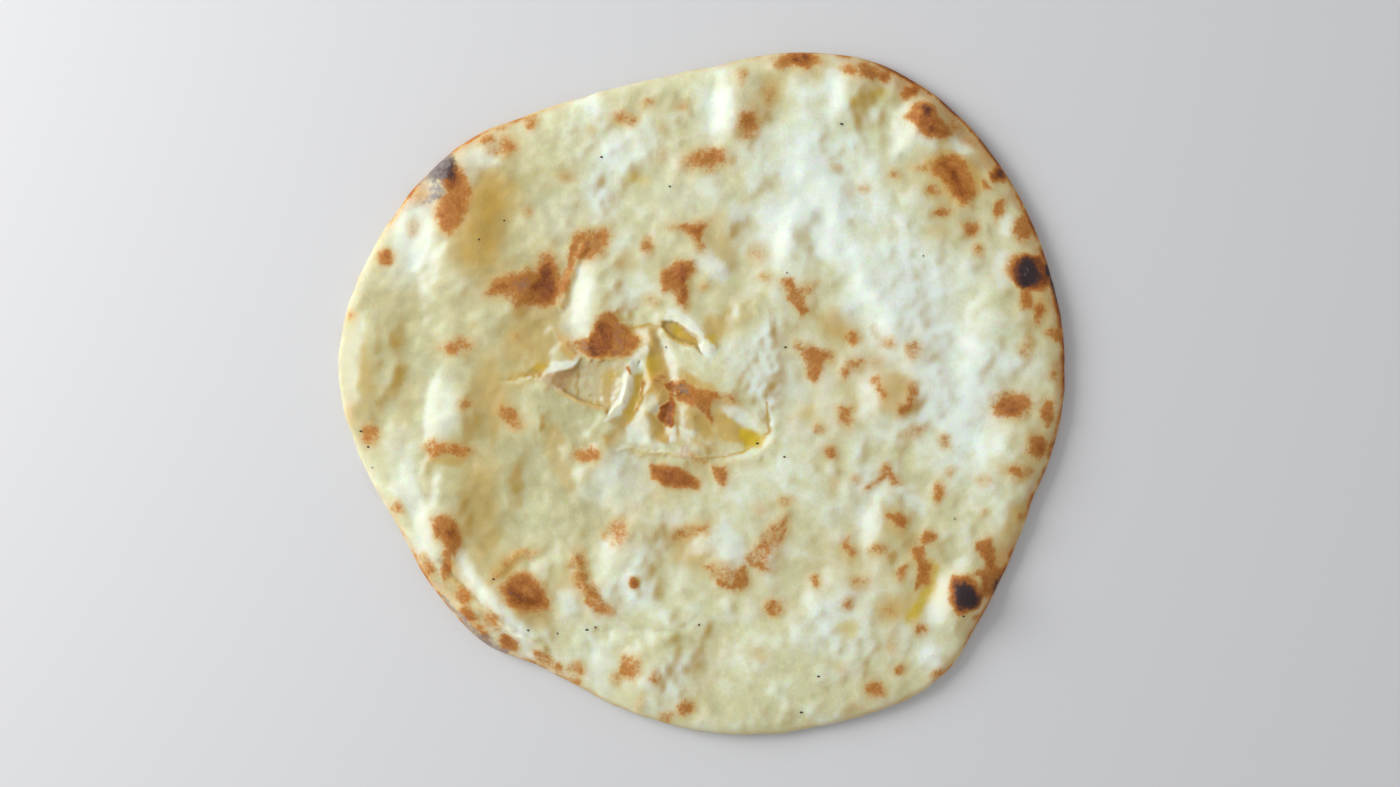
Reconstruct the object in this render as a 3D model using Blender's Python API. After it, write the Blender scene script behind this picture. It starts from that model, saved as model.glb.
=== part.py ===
# Naan bread: one flat, uneven, oven-blistered loaf that lies on its flat underside.
# Metres, +Z up. The origin is at the middle of the footprint, on the surface it rests on.

import math

import bmesh
import bpy
from mathutils import Vector

MM = 0.001

# Overall size
LENGTH = 300.0 * MM  # along X, the longest way across
WIDTH = 282.0 * MM  # along Y

# Section through the dough
CRUMB_HEIGHT = 8.4 * MM  # top skin above the underside, away from bubbles and hollows
EDGE_HIGH = 4.6 * MM  # upper line of the blunt outer edge
EDGE_LOW = 2.4 * MM  # lower line of the blunt outer edge
EDGE_LIFT = 1.0 * MM  # how much higher the edge rides where the loaf curls
TOP_ROUND = 11.0 * MM  # how far in the top skin takes to round over into the edge
UNDER_ROUND = 8.0 * MM  # how far in the underside takes to reach its flat
WAVE_HEIGHT = 0.7 * MM  # slow unevenness of the whole top
WAVE_LENGTH = 74.0 * MM

# Grid that the loaf is shaped from
CELLS = 54
FLAT_HEIGHT = 0.01 * MM  # underside points lower than this are on the flat
FLAT_ANGLE = math.radians(0.05)

# Outline: (direction in degrees from +X, distance from the middle in mm)
OUTLINE = [
    (0, 149.5),
    (22, 152),
    (45, 155),
    (61, 153.5),
    (75, 144.5),
    (90, 133),
    (105, 129.8),
    (120, 133.6),
    (135, 142.5),
    (155, 148),
    (174, 151.5),
    (188, 146),
    (203, 138),
    (216, 137.6),
    (229, 137.2),
    (240, 131.2),
    (256, 134.5),
    (272, 140.5),
    (292, 147),
    (309, 153.5),
    (322, 147.5),
    (340, 143.5),
    (350, 146.5),
]

# Bubbles, ridges and hollows of the skin, in mm:
# (x, y, half length, half width, turn of the length in degrees, height)
FORMS = [
    (-104, 64, 36, 20, 84, 6.0),  # ridge inside the upper left edge
    (-140, 22, 36, 14, 93, 2.8),  # left edge roll
    (-119, 18, 32, 14, 88, -3.0),  # trough inside that roll
    (-98, -4, 26, 15, 82, 5.0),
    (-106, -48, 34, 15, 80, 5.0),
    (-86, -84, 38, 12, -44, 4.0),  # folds along the lower left edge
    (-101, -93, 26, 9, -46, 2.0),
    (-64, 38, 28, 15, 90, -3.0),
    (-43, 37, 30, 15, 82, 6.5),  # flank of the burst bubble
    (-46, -26, 26, 15, 70, 3.4),
    (10, 10, 34, 26, -25, 7.0),  # skin still standing beside the tears
    (-20, 9, 20, 9, 78, 4.2),  # tent fold between the two tears
    (-13, -9, 20, 11, -60, -3.6),  # skin that fell in
    (12, -17, 16, 9, -20, -2.4),
    (22, 34, 24, 14, 60, 2.8),
    (15, 117, 26, 18, 84, 5.0),
    (62, 122, 24, 13, 70, 3.4),
    (92, 111, 17, 15, 20, 5.8),  # ring blister
    (18, 62, 24, 14, 78, -2.6),
    (38, 66, 26, 14, 62, 5.0),
    (54, 80, 30, 13, -52, 3.4),
    (77, 34, 38, 16, -62, 5.0),
    (78, -2, 15, 15, 0, 3.4),  # ring blister at the right
    (118, 20, 34, 20, 80, 2.6),
    (126, -22, 26, 18, 70, 3.0),
    (106, -84, 20, 16, 65, 6.2),  # burnt blister at the lower right
    (74, -54, 20, 12, 78, 3.8),
    (50, -84, 24, 14, 50, 2.8),
    (-20, -112, 28, 22, 82, 5.0),
    (6, -108, 24, 12, 80, -2.6),
    (-30, -66, 24, 16, 60, 2.8),
    (-12, -62, 16, 10, 0, -2.0),
    (-72, -46, 30, 16, 70, -2.2),
    (-60, 92, 30, 20, -30, 3.0),
    (-24, 84, 26, 16, 40, -2.0),
]

# Tears in the skin, in mm: outlines of the openings, counter-clockwise
WINDOW = [
    (-66, 6.5), (-60, 1.5), (-50, -4), (-40, -8.5), (-34, -4), (-30.5, 3), (-29, 12), (-38, 14), (-53, 13),
]
SLIT = [
    (-17, 25.5), (-11, 21.5), (-4, 18.5), (1, 15.5), (0.5, 20), (-5, 25.5), (-11, 29), (-15.5, 29.5),
]
WINDOW_FLOOR = 3.4 * MM  # top of the lower layer seen through the window
SLIT_FLOOR = 5.2 * MM
CUT_TOP = 30.0 * MM  # top of the cutting blocks, well above the skin

# Rolled lips beside the tears, in mm:
# (name, points along the lip, thickness, rise of its middle over the skin)
LIPS = [
    ("window_lip", [(-21, 19), (-28, 12), (-30.5, 3), (-34, -6), (-41, -11)], 4.8, 0.6),
    ("slit_lip", [(-17, 31.5), (-10, 30.5), (-3, 26), (4.5, 18)], 3.8, 0.4),
]
LIP_END = 0.45  # thickness at a lip's ends, as a share of its middle
WELD_DISTANCE = 0.01 * MM

CRUST_COLOUR = (0.72, 0.53, 0.30, 1.0)
CRUST_ROUGHNESS = 0.62


def clear_scene():
    for obj in list(bpy.data.objects):
        bpy.data.objects.remove(obj, do_unlink=True)


def make_collection(name):
    collection = bpy.data.collections.new(name)
    bpy.context.scene.collection.children.link(collection)
    return collection


def crust_material():
    material = bpy.data.materials.new("crust")
    material.use_nodes = True
    shader = material.node_tree.nodes["Principled BSDF"]
    shader.inputs["Base Color"].default_value = CRUST_COLOUR
    shader.inputs["Roughness"].default_value = CRUST_ROUGHNESS
    shader.inputs["Metallic"].default_value = 0.0
    return material


def edge_distance(angle):
    """Distance from the middle to the outline, on a smooth closed curve through OUTLINE."""
    degrees = math.degrees(angle) % 360.0
    count = len(OUTLINE)
    index = max(i for i in range(count) if OUTLINE[i][0] <= degrees)
    knots = [OUTLINE[(index + k) % count] for k in (-1, 0, 1, 2)]
    turns = [360.0 * ((index + k) // count) for k in (-1, 0, 1, 2)]
    at = [knot[0] + turn for knot, turn in zip(knots, turns)]
    out = [knot[1] for knot in knots]
    span = at[2] - at[1]
    slope_a = (out[2] - out[0]) / (at[2] - at[0]) * span
    slope_b = (out[3] - out[1]) / (at[3] - at[1]) * span
    t = (degrees - at[1]) / span
    start = (2 * t**3 - 3 * t**2 + 1) * out[1] + (t**3 - 2 * t**2 + t) * slope_a
    end = (3 * t**2 - 2 * t**3) * out[2] + (t**3 - t**2) * slope_b
    return (start + end) * MM


def form_height(x, y):
    """Sum of the bubbles, ridges and hollows at a point."""
    total = 0.0
    for form_x, form_y, half_length, half_width, turn, height in FORMS:
        across_x = x / MM - form_x
        across_y = y / MM - form_y
        cos_turn = math.cos(math.radians(turn))
        sin_turn = math.sin(math.radians(turn))
        along = (across_x * cos_turn + across_y * sin_turn) / half_length
        across = (across_y * cos_turn - across_x * sin_turn) / half_width
        inside = 1.0 - along * along - across * across
        if inside > 0.0:
            total += height * MM * inside * inside
    return total


def wave(x, y):
    step = 2.0 * math.pi / WAVE_LENGTH
    crossed = math.sin(step * x + 0.8) * math.cos(step * y)
    slanted = 0.5 * math.sin(step * (y - 0.6 * x))
    return WAVE_HEIGHT * (crossed + slanted)


def skin_height(x, y):
    return CRUMB_HEIGHT + form_height(x, y) + wave(x, y)


def lift(angle):
    """The edge rides a little higher in some stretches than in others."""
    return EDGE_LIFT * (0.5 + 0.35 * math.sin(3.0 * angle + 0.7) + 0.15 * math.sin(7.0 * angle))


def rounding(inward, width):
    """0 at the outer edge, rising like a quarter circle to 1 at a distance of width inside it."""
    left = max(0.0, 1.0 - inward / width)
    return math.sqrt(1.0 - left * left)


def square_to_round(x, y):
    """A point of the 2 x 2 square, as its direction and its share of the way out."""
    u = x * math.sqrt(1.0 - 0.5 * y * y)
    v = y * math.sqrt(1.0 - 0.5 * x * x)
    return math.atan2(v, u), min(1.0, math.hypot(u, v))


def shape_loaf(bm):
    """A square grid becomes the top skin, and its extruded copy the underside."""
    bmesh.ops.create_grid(bm, x_segments=CELLS, y_segments=CELLS, size=1.0)
    under = bm.faces[:]
    made = bmesh.ops.extrude_face_region(bm, geom=under)
    top_points = {item for item in made["geom"] if isinstance(item, bmesh.types.BMVert)}
    for point in bm.verts:
        angle, share = square_to_round(point.co.x, point.co.y)
        reach = edge_distance(angle)
        x = share * reach * math.cos(angle)
        y = share * reach * math.sin(angle)
        inward = (1.0 - share) * reach
        if point in top_points:
            edge = EDGE_HIGH + lift(angle)
            z = edge + (skin_height(x, y) - edge) * rounding(inward, TOP_ROUND)
        else:
            edge = EDGE_LOW + lift(angle)
            z = edge * (1.0 - rounding(inward, UNDER_ROUND))
        point.co = Vector((x, y, z))


def fit_outline(bm):
    """Centres the footprint and brings it to LENGTH by WIDTH exactly."""
    low = Vector([min(point.co[axis] for point in bm.verts) for axis in range(3)])
    high = Vector([max(point.co[axis] for point in bm.verts) for axis in range(3)])
    middle = (low + high) * 0.5
    size = high - low
    bmesh.ops.translate(bm, vec=(-middle.x, -middle.y, 0.0), verts=bm.verts)
    bmesh.ops.scale(bm, vec=(LENGTH / size.x, WIDTH / size.y, 1.0), verts=bm.verts)


def merge_flat_underside(bm):
    flat = [face for face in bm.faces if all(point.co.z < FLAT_HEIGHT for point in face.verts)]
    flat_edges = list({edge for face in flat for edge in face.edges})
    bmesh.ops.dissolve_limit(bm, angle_limit=FLAT_ANGLE, verts=[], edges=flat_edges)


def make_loaf(collection, material):
    bm = bmesh.new()
    shape_loaf(bm)
    fit_outline(bm)
    merge_flat_underside(bm)
    bmesh.ops.recalc_face_normals(bm, faces=bm.faces)
    mesh = bpy.data.meshes.new("naan")
    bm.to_mesh(mesh)
    bm.free()
    mesh.materials.append(material)
    mesh.shade_smooth()
    loaf = bpy.data.objects.new("naan", mesh)
    collection.objects.link(loaf)
    return loaf


def as_helper(curve, collection):
    """Turns a curve object into a closed, hidden mesh object that a Boolean can use."""
    collection.objects.link(curve)
    bpy.context.view_layer.update()
    graph = bpy.context.evaluated_depsgraph_get()
    mesh = bpy.data.meshes.new_from_object(curve.evaluated_get(graph))
    bm = bmesh.new()
    bm.from_mesh(mesh)
    bmesh.ops.remove_doubles(bm, verts=bm.verts, dist=WELD_DISTANCE)
    bmesh.ops.recalc_face_normals(bm, faces=bm.faces)
    bm.to_mesh(mesh)
    bm.free()
    helper = bpy.data.objects.new(curve.name + "_solid", mesh)
    helper.matrix_world = curve.matrix_world
    bpy.data.objects.remove(curve, do_unlink=True)
    collection.objects.link(helper)
    helper.hide_render = True
    helper.display_type = "WIRE"
    return helper


def opening(name, outline, floor, collection):
    """A block of the tear's outline, from its floor up through the skin."""
    data = bpy.data.curves.new(name, "CURVE")
    data.dimensions = "2D"
    data.fill_mode = "BOTH"
    data.extrude = (CUT_TOP - floor) / 2.0
    spline = data.splines.new("POLY")
    spline.points.add(len(outline) - 1)
    for point, (x, y) in zip(spline.points, outline):
        point.co = (x * MM, y * MM, 0.0, 1.0)
    spline.use_cyclic_u = True
    block = bpy.data.objects.new(name, data)
    block.location.z = (CUT_TOP + floor) / 2.0
    return as_helper(block, collection)


def lip(name, points, thickness, rise, collection):
    """A rolled strip of skin, thinner at both ends."""
    data = bpy.data.curves.new(name, "CURVE")
    data.dimensions = "3D"
    data.bevel_depth = thickness * MM / 2.0
    data.bevel_resolution = 2
    data.resolution_u = 3
    data.use_fill_caps = True
    spline = data.splines.new("BEZIER")
    spline.bezier_points.add(len(points) - 1)
    for index, (point, (x, y)) in enumerate(zip(spline.bezier_points, points)):
        point.co = Vector((x * MM, y * MM, skin_height(x * MM, y * MM) + rise * MM))
        point.handle_left_type = "AUTO"
        point.handle_right_type = "AUTO"
        at_end = index in (0, len(points) - 1)
        point.radius = LIP_END if at_end else 1.0
    return as_helper(bpy.data.objects.new(name, data), collection)


def combine(loaf, helper, operation):
    modifier = loaf.modifiers.new(helper.name, "BOOLEAN")
    modifier.operation = operation
    modifier.solver = "EXACT"
    modifier.object = helper


def main():
    clear_scene()
    naan_parts = make_collection("naan_bread")
    helpers = make_collection("cutters")
    loaf = make_loaf(naan_parts, crust_material())
    combine(loaf, opening("window", WINDOW, WINDOW_FLOOR, helpers), "DIFFERENCE")
    combine(loaf, opening("slit", SLIT, SLIT_FLOOR, helpers), "DIFFERENCE")
    for name, points, thickness, rise in LIPS:
        combine(loaf, lip(name, points, thickness, rise, helpers), "UNION")


main()
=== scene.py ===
import math

import bmesh
import bpy
import numpy as np
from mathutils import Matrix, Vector, geometry, noise
from mathutils.bvhtree import BVHTree


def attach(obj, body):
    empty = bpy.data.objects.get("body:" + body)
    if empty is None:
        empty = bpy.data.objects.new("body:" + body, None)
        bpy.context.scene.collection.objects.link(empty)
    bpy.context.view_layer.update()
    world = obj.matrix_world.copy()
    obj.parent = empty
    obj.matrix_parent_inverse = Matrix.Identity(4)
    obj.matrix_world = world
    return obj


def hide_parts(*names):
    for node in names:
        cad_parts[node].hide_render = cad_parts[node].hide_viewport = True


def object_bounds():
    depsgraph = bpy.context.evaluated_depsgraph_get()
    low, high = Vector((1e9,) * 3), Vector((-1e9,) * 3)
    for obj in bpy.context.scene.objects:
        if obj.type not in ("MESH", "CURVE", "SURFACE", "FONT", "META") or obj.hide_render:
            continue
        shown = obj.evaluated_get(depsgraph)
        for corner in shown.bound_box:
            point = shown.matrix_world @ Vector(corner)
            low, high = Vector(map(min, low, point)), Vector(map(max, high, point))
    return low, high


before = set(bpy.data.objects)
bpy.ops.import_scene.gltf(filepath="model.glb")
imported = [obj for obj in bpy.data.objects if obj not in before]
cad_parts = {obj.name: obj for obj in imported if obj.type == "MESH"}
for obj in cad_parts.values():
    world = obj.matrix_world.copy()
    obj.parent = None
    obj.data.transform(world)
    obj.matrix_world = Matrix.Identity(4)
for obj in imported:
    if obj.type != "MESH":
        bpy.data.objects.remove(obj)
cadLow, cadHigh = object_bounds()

mm = 0.001

# every length is in mm from the middle of the bread, and every turn in degrees, unless a note says otherwise
loaf = {
    "cells": 220,  # grid cells along each side of the top skin
    "underCells": 80,
    "fineZone": ((-72, -33), (31, 37)),  # torn middle, where the grid is finer
    "fineCuts": 2,
    "rimRows": 4,  # rows of faces that roll from the outer edge under the loaf
    "clear": 0.25,  # how far the bread keeps inside the box of its solid
    "crumb": 8.4,  # top skin above the table, away from bubbles
    "topRound": 11.0,
    "underRound": 8.0,
    "underDents": 0.9,
    "dentFade": (0.0, 10.0),
    "outlineRough": 0.5,
    "outlineFade": (0.8, 1.0),  # shares of the way out where that begins and is full
    "edgeHeight": 4.0,
    "edgeLift": 1.0,  # how far the edge curls off the table
    "edgeWaves": ((3, 0.35, 0.7), (7, 0.15, 0.0)),  # waves round the rim, share of the lift, phase
    "edgeRough": 0.4,
    "waveHeight": 0.7,  # slow wave of the whole loaf
    "waveLength": 74.0,
    "wavePhase": 0.8,
    "crossWave": 0.5,  # height and slant of the second wave, as shares
    "crossSlant": 0.6,
    "steepSide": 0.8,  # a bubble's width towards -X, as a share of the width given
    "gentleSide": 1.4,  # and towards +X
}

skin = {
    "lumpHeight": 0.75,
    "dimpleHeight": 0.45,
    "wrinkleHeight": 0.17,
    "calmPlace": (7, 13, 27, 24, 0),  # smoother skin: x, y, half length, half width, turn
    "calmShare": 0.5,
    "calmFade": (1.1, 0.6),
    "lumpShadingSwing": 0.55,  # how strongly the tops of the lumps get painted light and their dips painted shade
    "foldPower": 1.5,  # how sharp the line of a fold is
    "toastRise": 0.45,  # how far a toasted spot swells
    "tornRough": 0.4,  # unevenness of the floors of the tears
    "tornEdge": (-0.2, 1.0),  # where an opening's side begins and ends
    "tornTone": (-0.2, 0.6),  # and its colour
    "creaseSoft": 1.0,  # how far the edges of the fallen skin's facets are rounded
    "creaseSamples": 6,
    "creaseShare": 0.62,  # share of the crease heights that is used
    "lightWay": (-0.94, 0.34),  # the way to the window light; slopes of every bump that face it get a painted highlight
    "slopeHighlight": 0.85,  # strength of the painted highlight on the slopes that face that way
    "slopeShade": 1.0,  # strength of the painted golden shade on the slopes that face the other way
    "highlightLean": (0.05, 0.4),  # least and full slope for the painted highlight
    "shadeLean": (0.03, 0.4),
    "rimFlank": 0.3,  # share of the painted highlight and shade on the roll of the rim
    "rimFade": (2.0, 14.0),
    "underFade": 0.9,
}

# unevenness of the dough: size of its features, seed, levels of detail
grains = {
    "lumps": (13.0, 21.7, 2),
    "dimples": (7.0, 27.7, 2),
    "wrinkles": (3.4, 33.1, 1),
    "tornFloor": (6.0, 41.0, 3),
    "underDents": (12.0, 71.0, 3),
    "outline": (3.0, 51.0, 3),
    "edge": (5.0, 61.0, 3),
    "rimDepth": (9.0, 81.0, 3),
    "rimPatches": (8.0, 87.0, 3),
    "wanderX": (6.0, 3.1, 3),
    "wanderY": (6.0, 5.3, 3),
    "fineX": (2.0, 8.7, 3),
    "fineY": (2.0, 1.9, 3),
    "broadX": (16.0, 12.3, 3),
    "broadY": (16.0, 14.9, 3),
}


def smooth(low, high, value):
    share = np.clip((value - low) / (high - low), 0.0, 1.0)
    return share * share * (3.0 - 2.0 * share)


def noiseAt(x, y, name):
    # fractal noise over the plan of the bread, about -1 to 1
    size, seed, detail = grains[name]
    places = zip(x / size, y / size)
    return np.array([noise.fractal(Vector((a + seed, b, seed)), 1.0, 2.0, detail) for a, b in places])


rimRings = {"outline": 30, "edge": 40}  # radius of the circle of noise that each one reads


def noiseRound(angle, name):
    # noise that runs once round the rim and meets itself
    radius = rimRings[name]
    return noiseAt(radius * np.cos(angle), radius * np.sin(angle), name)


def turned(x, y, middleX, middleY, turn):
    # distances along and across a turned oval, from its middle
    cosTurn = math.cos(math.radians(turn))
    sinTurn = math.sin(math.radians(turn))
    along = (x - middleX) * cosTurn + (y - middleY) * sinTurn
    across = (y - middleY) * cosTurn - (x - middleX) * sinTurn
    return along, across


def ovalShare(x, y, oval):
    # 0 in the middle of an oval, 1 on its line
    ovalX, ovalY, halfLength, halfWidth, turn = oval
    along, across = turned(x, y, ovalX, ovalY, turn)
    return np.hypot(along / halfLength, across / halfWidth)


def lineDistance(x, y, points):
    # distance to a line through points
    best = np.full(len(x), 1e9)
    for (ax, ay), (bx, by) in zip(points, points[1:]):
        runX = bx - ax
        runY = by - ay
        t = np.clip(((x - ax) * runX + (y - ay) * runY) / (runX**2 + runY**2), 0.0, 1.0)
        best = np.minimum(best, np.hypot(x - ax - t * runX, y - ay - t * runY))
    return best


def insideDistance(x, y, points):
    # distance to a closed outline, above zero inside it
    closed = points + points[:1]
    inside = np.zeros(len(x), bool)
    for (ax, ay), (bx, by) in zip(closed, closed[1:]):
        crosses = (ay > y) != (by > y)
        runY = by - ay if by != ay else 1e-9
        inside ^= crosses & (x < (bx - ax) * (y - ay) / runY + ax)
    gap = lineDistance(x, y, closed)
    return np.where(inside, gap, -gap)


# the bread's edge: direction from +X, distance from the middle
outline = [
    (0, 149.5), (22, 152), (45, 155), (61, 153.5), (75, 144.5), (90, 133), (105, 129.8), (120, 133.6),
    (135, 142.5), (155, 148), (174, 151.5), (188, 146), (203, 138), (216, 137.6), (229, 137.2),
    (240, 131.2), (256, 134.5), (272, 140.5), (292, 147), (309, 153.5), (322, 147.5), (340, 143.5),
    (350, 146.5),
]


def edgeDistance(angle):
    # distance from the middle to the edge, on a smooth closed curve through those points
    knots = np.array(outline, float)
    count = len(knots)
    degrees = np.degrees(angle) % 360.0
    index = np.searchsorted(knots[:, 0], degrees, side="right") - 1
    places = [index + step for step in (-1, 0, 1, 2)]
    at = [knots[place % count, 0] + 360.0 * (place // count) for place in places]
    out = [knots[place % count, 1] for place in places]
    span = at[2] - at[1]
    slopeA = (out[2] - out[0]) / (at[2] - at[0]) * span
    slopeB = (out[3] - out[1]) / (at[3] - at[1]) * span
    t = (degrees - at[1]) / span
    start = (2 * t**3 - 3 * t**2 + 1) * out[1] + (t**3 - 2 * t**2 + t) * slopeA
    end = (3 * t**2 - 2 * t**3) * out[2] + (t**3 - t**2) * slopeB
    return start + end


# bubbles, ridges and hollows: x, y, half length, half width, turn, height
forms = [
    (-104, 64, 36, 20, 84, 4.0), (-140, 22, 36, 14, 93, 2.0), (-119, 18, 32, 14, 88, -1.2),
    (-105, -8, 24, 14, 84, 4.0), (-108, -53, 32, 14, 80, 2.4), (-86, -84, 38, 12, -44, 4.0),
    (-101, -93, 26, 9, -46, 2.0), (-64, 38, 28, 15, 90, -1.8), (-46, 37, 24, 11, 84, 2.8),
    (-43, -27, 24, 14, 70, 1.6), (8, 8, 36, 26, -25, 2.4), (22, 34, 24, 14, 60, 1.2),
    (13, 116, 24, 14, 84, 3.6), (60, 123, 20, 10, 72, 2.4), (92, 111, 17, 15, 20, 5.0),
    (18, 62, 24, 14, 78, -1.6), (37, 66, 20, 10, 66, 1.6), (50, 80, 28, 10, -56, 1.8),
    (77, 34, 40, 18, -60, 3.2), (78, -2, 15, 15, 0, 2.4), (118, 20, 34, 20, 80, 2.6),
    (126, -22, 26, 18, 70, 3.0), (106, -84, 20, 16, 65, 6.2), (74, -54, 20, 12, 78, 2.6),
    (50, -84, 24, 14, 50, 1.4), (-22, -112, 26, 18, 82, 2.8), (6, -108, 24, 12, 80, -0.6),
    (-30, -66, 24, 16, 60, 2.8), (-12, -62, 16, 10, 0, -2.0), (-72, -46, 30, 16, 70, -1.2),
    (-60, 92, 30, 20, -30, 1.8), (-24, 84, 26, 16, 40, -0.8),
]


def bulkHeight(x, y):
    # bubbles, hollows and the slow wave of the whole loaf
    total = np.full(len(x), loaf["crumb"])
    for formX, formY, halfLength, halfWidth, turn, height in forms:
        along, across = turned(x, y, formX, formY, turn)
        gentle = across * math.sin(math.radians(turn)) < 0.0
        width = halfWidth * np.where(gentle, loaf["gentleSide"], loaf["steepSide"])
        inside = np.clip(1.0 - (along / halfLength) ** 2 - (across / width) ** 2, 0.0, 1.0)
        total += height * inside**2
    step = 2.0 * math.pi / loaf["waveLength"]
    total += loaf["waveHeight"] * np.sin(step * x + loaf["wavePhase"]) * np.cos(step * y)
    total += loaf["waveHeight"] * loaf["crossWave"] * np.sin(step * (y - loaf["crossSlant"] * x))
    return total


# narrow folds: points, half width, height
folds = [
    ([(-113, -66), (-104, -76), (-92, -87), (-80, -97), (-66, -105)], 4.5, 1.3),
    ([(-107, -70), (-97, -81), (-86, -91), (-72, -99)], 3.0, -1.2),
    ([(-85, -76), (-82, -71), (-75, -67), (-66, -65)], 2.6, 0.5),
    ([(-115, -32), (-109, -23), (-101, -23), (-93, -28)], 3.0, 0.5),
    ([(-82, 5), (-74, 6.5), (-66, 7)], 2.2, -0.8),
    ([(-53, -68), (-49, -80), (-44, -86), (-38, -90)], 3.2, 0.9),
    ([(-43, -98), (-25, -96.5), (-10, -99), (-3, -103)], 2.2, -0.7),
    ([(-2, -92), (-8, -97)], 2.0, -0.6),
    ([(-49, 60), (-54, 49), (-59, 35)], 2.4, 1.3),
    ([(-34, -23), (-22, -25), (-8, -26), (4, -27)], 1.8, 0.5),
    ([(34, 84), (46, 70), (56, 52)], 6.0, 0.5),
    ([(65, 45), (74, 32), (82, 18)], 6.0, 0.5),
    ([(80, 98), (86, 104), (88, 112), (94, 119)], 4.0, 0.9),
]


def foldHeight(x, y):
    total = np.zeros(len(x))
    for points, halfWidth, height in folds:
        close = np.clip(1.0 - lineDistance(x, y, points) / halfWidth, 0.0, 1.0)
        total += height * close ** skin["foldPower"]
    return total


# ridge and valley lines of the fallen skin: x, y, height above the smooth skin; flat facets join the lines
creases = [
    [(-72, 7, 0), (-66, 18, 0), (-50, 24, 0), (-36, 29, 0), (-24, 37, 0), (-10, 42, 0), (6, 39, 0),
     (14, 30, 0), (18, 18, 0), (24, 8, 0), (34, -2, 0), (36, -16, 0), (30, -30, 0), (14, -35, 0),
     (-4, -36, 0), (-22, -32, 0), (-38, -28, 0), (-48, -18, 0), (-62, -6, 0), (-72, 7, 0)],
    [(-63, 9.5, 0.8), (-58, 11, 1.6), (-53, 12, 1.5), (-46, 15, 1.2), (-36, 14.5, 0.9)],
    [(-60, 0.5, 0.4), (-53, -4.5, 0.7), (-45, -7, 0.8)],
    [(-23.5, 18.5, 2.2), (-28.5, 14.5, 2.2), (-30, 9, 2.2), (-31, 3, 2.4), (-32.4, -2.5, 2.2),
     (-35.5, -6.5, 1.8), (-39.5, -11, 0.9)],
    [(-25, 9, -0.5), (-24.8, 4, -1.2), (-26, -3, -1.6), (-28, -8, -1.4), (-31, -13.5, -1.0),
     (-33.5, -19.5, -0.4)],
    [(-20.5, 21.5, 3.4), (-22.6, 16, 2.8), (-23, 10, 2.4), (-21.5, 3.5, 1.6)],
    [(-19, 21.8, -0.2), (-16, 16, -1.0), (-14.4, 9, -1.5), (-13.2, 3, -1.7), (-13.2, -3.5, -1.9),
     (-14.6, -9, -3.1), (-15.6, -13, -2.7), (-15.6, -18, -1.4), (-15, -21.5, -0.4)],
    [(-15.5, 21.5, 0.8), (-11.5, 14, 1.5), (-10.5, 7, 1.4), (-9.5, 1.5, 1.5), (-2, -1.5, 1.1),
     (6, -2, 1.2), (13.5, -4, 0.7)],
    [(-17.5, -2.5, 0.9), (-20.5, -6, 1.4), (-23.5, -9.5, 1.7), (-22.3, -15, 1.7), (-22, -20.5, 0.7)],
    [(-12.4, -8, 0.2), (-12.4, -16, 0.9), (-12, -20, 0.3)],
    [(-10.6, -12, -0.2), (-10.6, -16, -0.9), (-10, -20, -0.3)],
    [(-8.5, -10, 1.2), (-5.5, -11.6, 1.4), (-4.2, -15, 1.2), (-4, -19, 0.6)],
    [(2, -6, 0.4), (4.2, -10, -1.0), (4.8, -14, -1.0)],
    [(6.5, -8.2, -0.7), (12, -11, -1.4), (18, -15, -2.0), (23.5, -20, -2.2)],
    [(12, -6.2, 1.2), (19, -8.5, 1.7), (24, -13.5, 1.4)],
    [(1, -20.5, 0.4), (8, -21, 0.6), (15, -22.3, 0.2)],
    [(26.2, -6, 0.2), (27.2, -12, -0.5), (27, -17, -0.7), (24.3, -21.4, -0.8), (19, -24, -0.9),
     (13, -26, -0.8), (4, -27.4, -0.4)],
    [(29.5, -11, 0.6), (29.5, -19, 0.7), (22, -26.2, 0.7), (13, -28.6, 0.5), (3, -30, 0.4)],
    [(-28, 25, -0.3), (-22, 26.5, -0.5), (-17.5, 26, -0.4)],
    [(-17, 24.6, 0.6), (-12.5, 20.8, 0.8), (-6, 18.8, 0.9), (-1, 15.6, 0.9)],
    [(-16, 31.5, 2.0), (-10, 31, 3.0), (-4, 26.3, 3.2), (1.6, 21.2, 2.6), (2.4, 17, 2.3), (4, 13.6, 0.6)],
    [(-8, 35.5, 0.8), (0.5, 29.5, 0.6), (5.6, 22.6, 0.0), (7.6, 19, 0.0)],
    [(-3, 8, 0.7)],
    [(9, 14, 0.4)],
]


def creaseHeight(x, y):
    # flat facets between the crease lines, with their edges rounded by averaging nearby places
    corners = []
    edges = []
    for line in creases:
        first = len(corners)
        corners += line
        edges += [(first + step, first + step + 1) for step in range(len(line) - 1)]
    facets = geometry.delaunay_2d_cdt([Vector(corner[:2]) for corner in corners], edges, [], 0, 1e-4)
    heights = [corners[source[0]][2] * skin["creaseShare"] for source in facets[3]]
    total = np.zeros(len(x))
    ways = [2 * math.pi * step / skin["creaseSamples"] for step in range(skin["creaseSamples"])]
    nearby = [(0.0, 0.0)] + [(math.cos(way), math.sin(way)) for way in ways]
    for sideX, sideY in nearby:
        px = x + skin["creaseSoft"] * sideX
        py = y + skin["creaseSoft"] * sideY
        found = np.zeros(len(x))
        for face in facets[2]:
            (ax, ay), (bx, by), (cx, cy) = [facets[0][index] for index in face]
            spread = (by - cy) * (ax - cx) + (cx - bx) * (ay - cy)
            first = ((by - cy) * (px - cx) + (cx - bx) * (py - cy)) / spread
            second = ((cy - ay) * (px - cx) + (ax - cx) * (py - cy)) / spread
            third = 1.0 - first - second
            inside = (first >= 0) & (second >= 0) & (third >= 0)
            value = first * heights[face[0]] + second * heights[face[1]] + third * heights[face[2]]
            found = np.where(inside, value, found)
        total += found / len(nearby)
    return total


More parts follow.
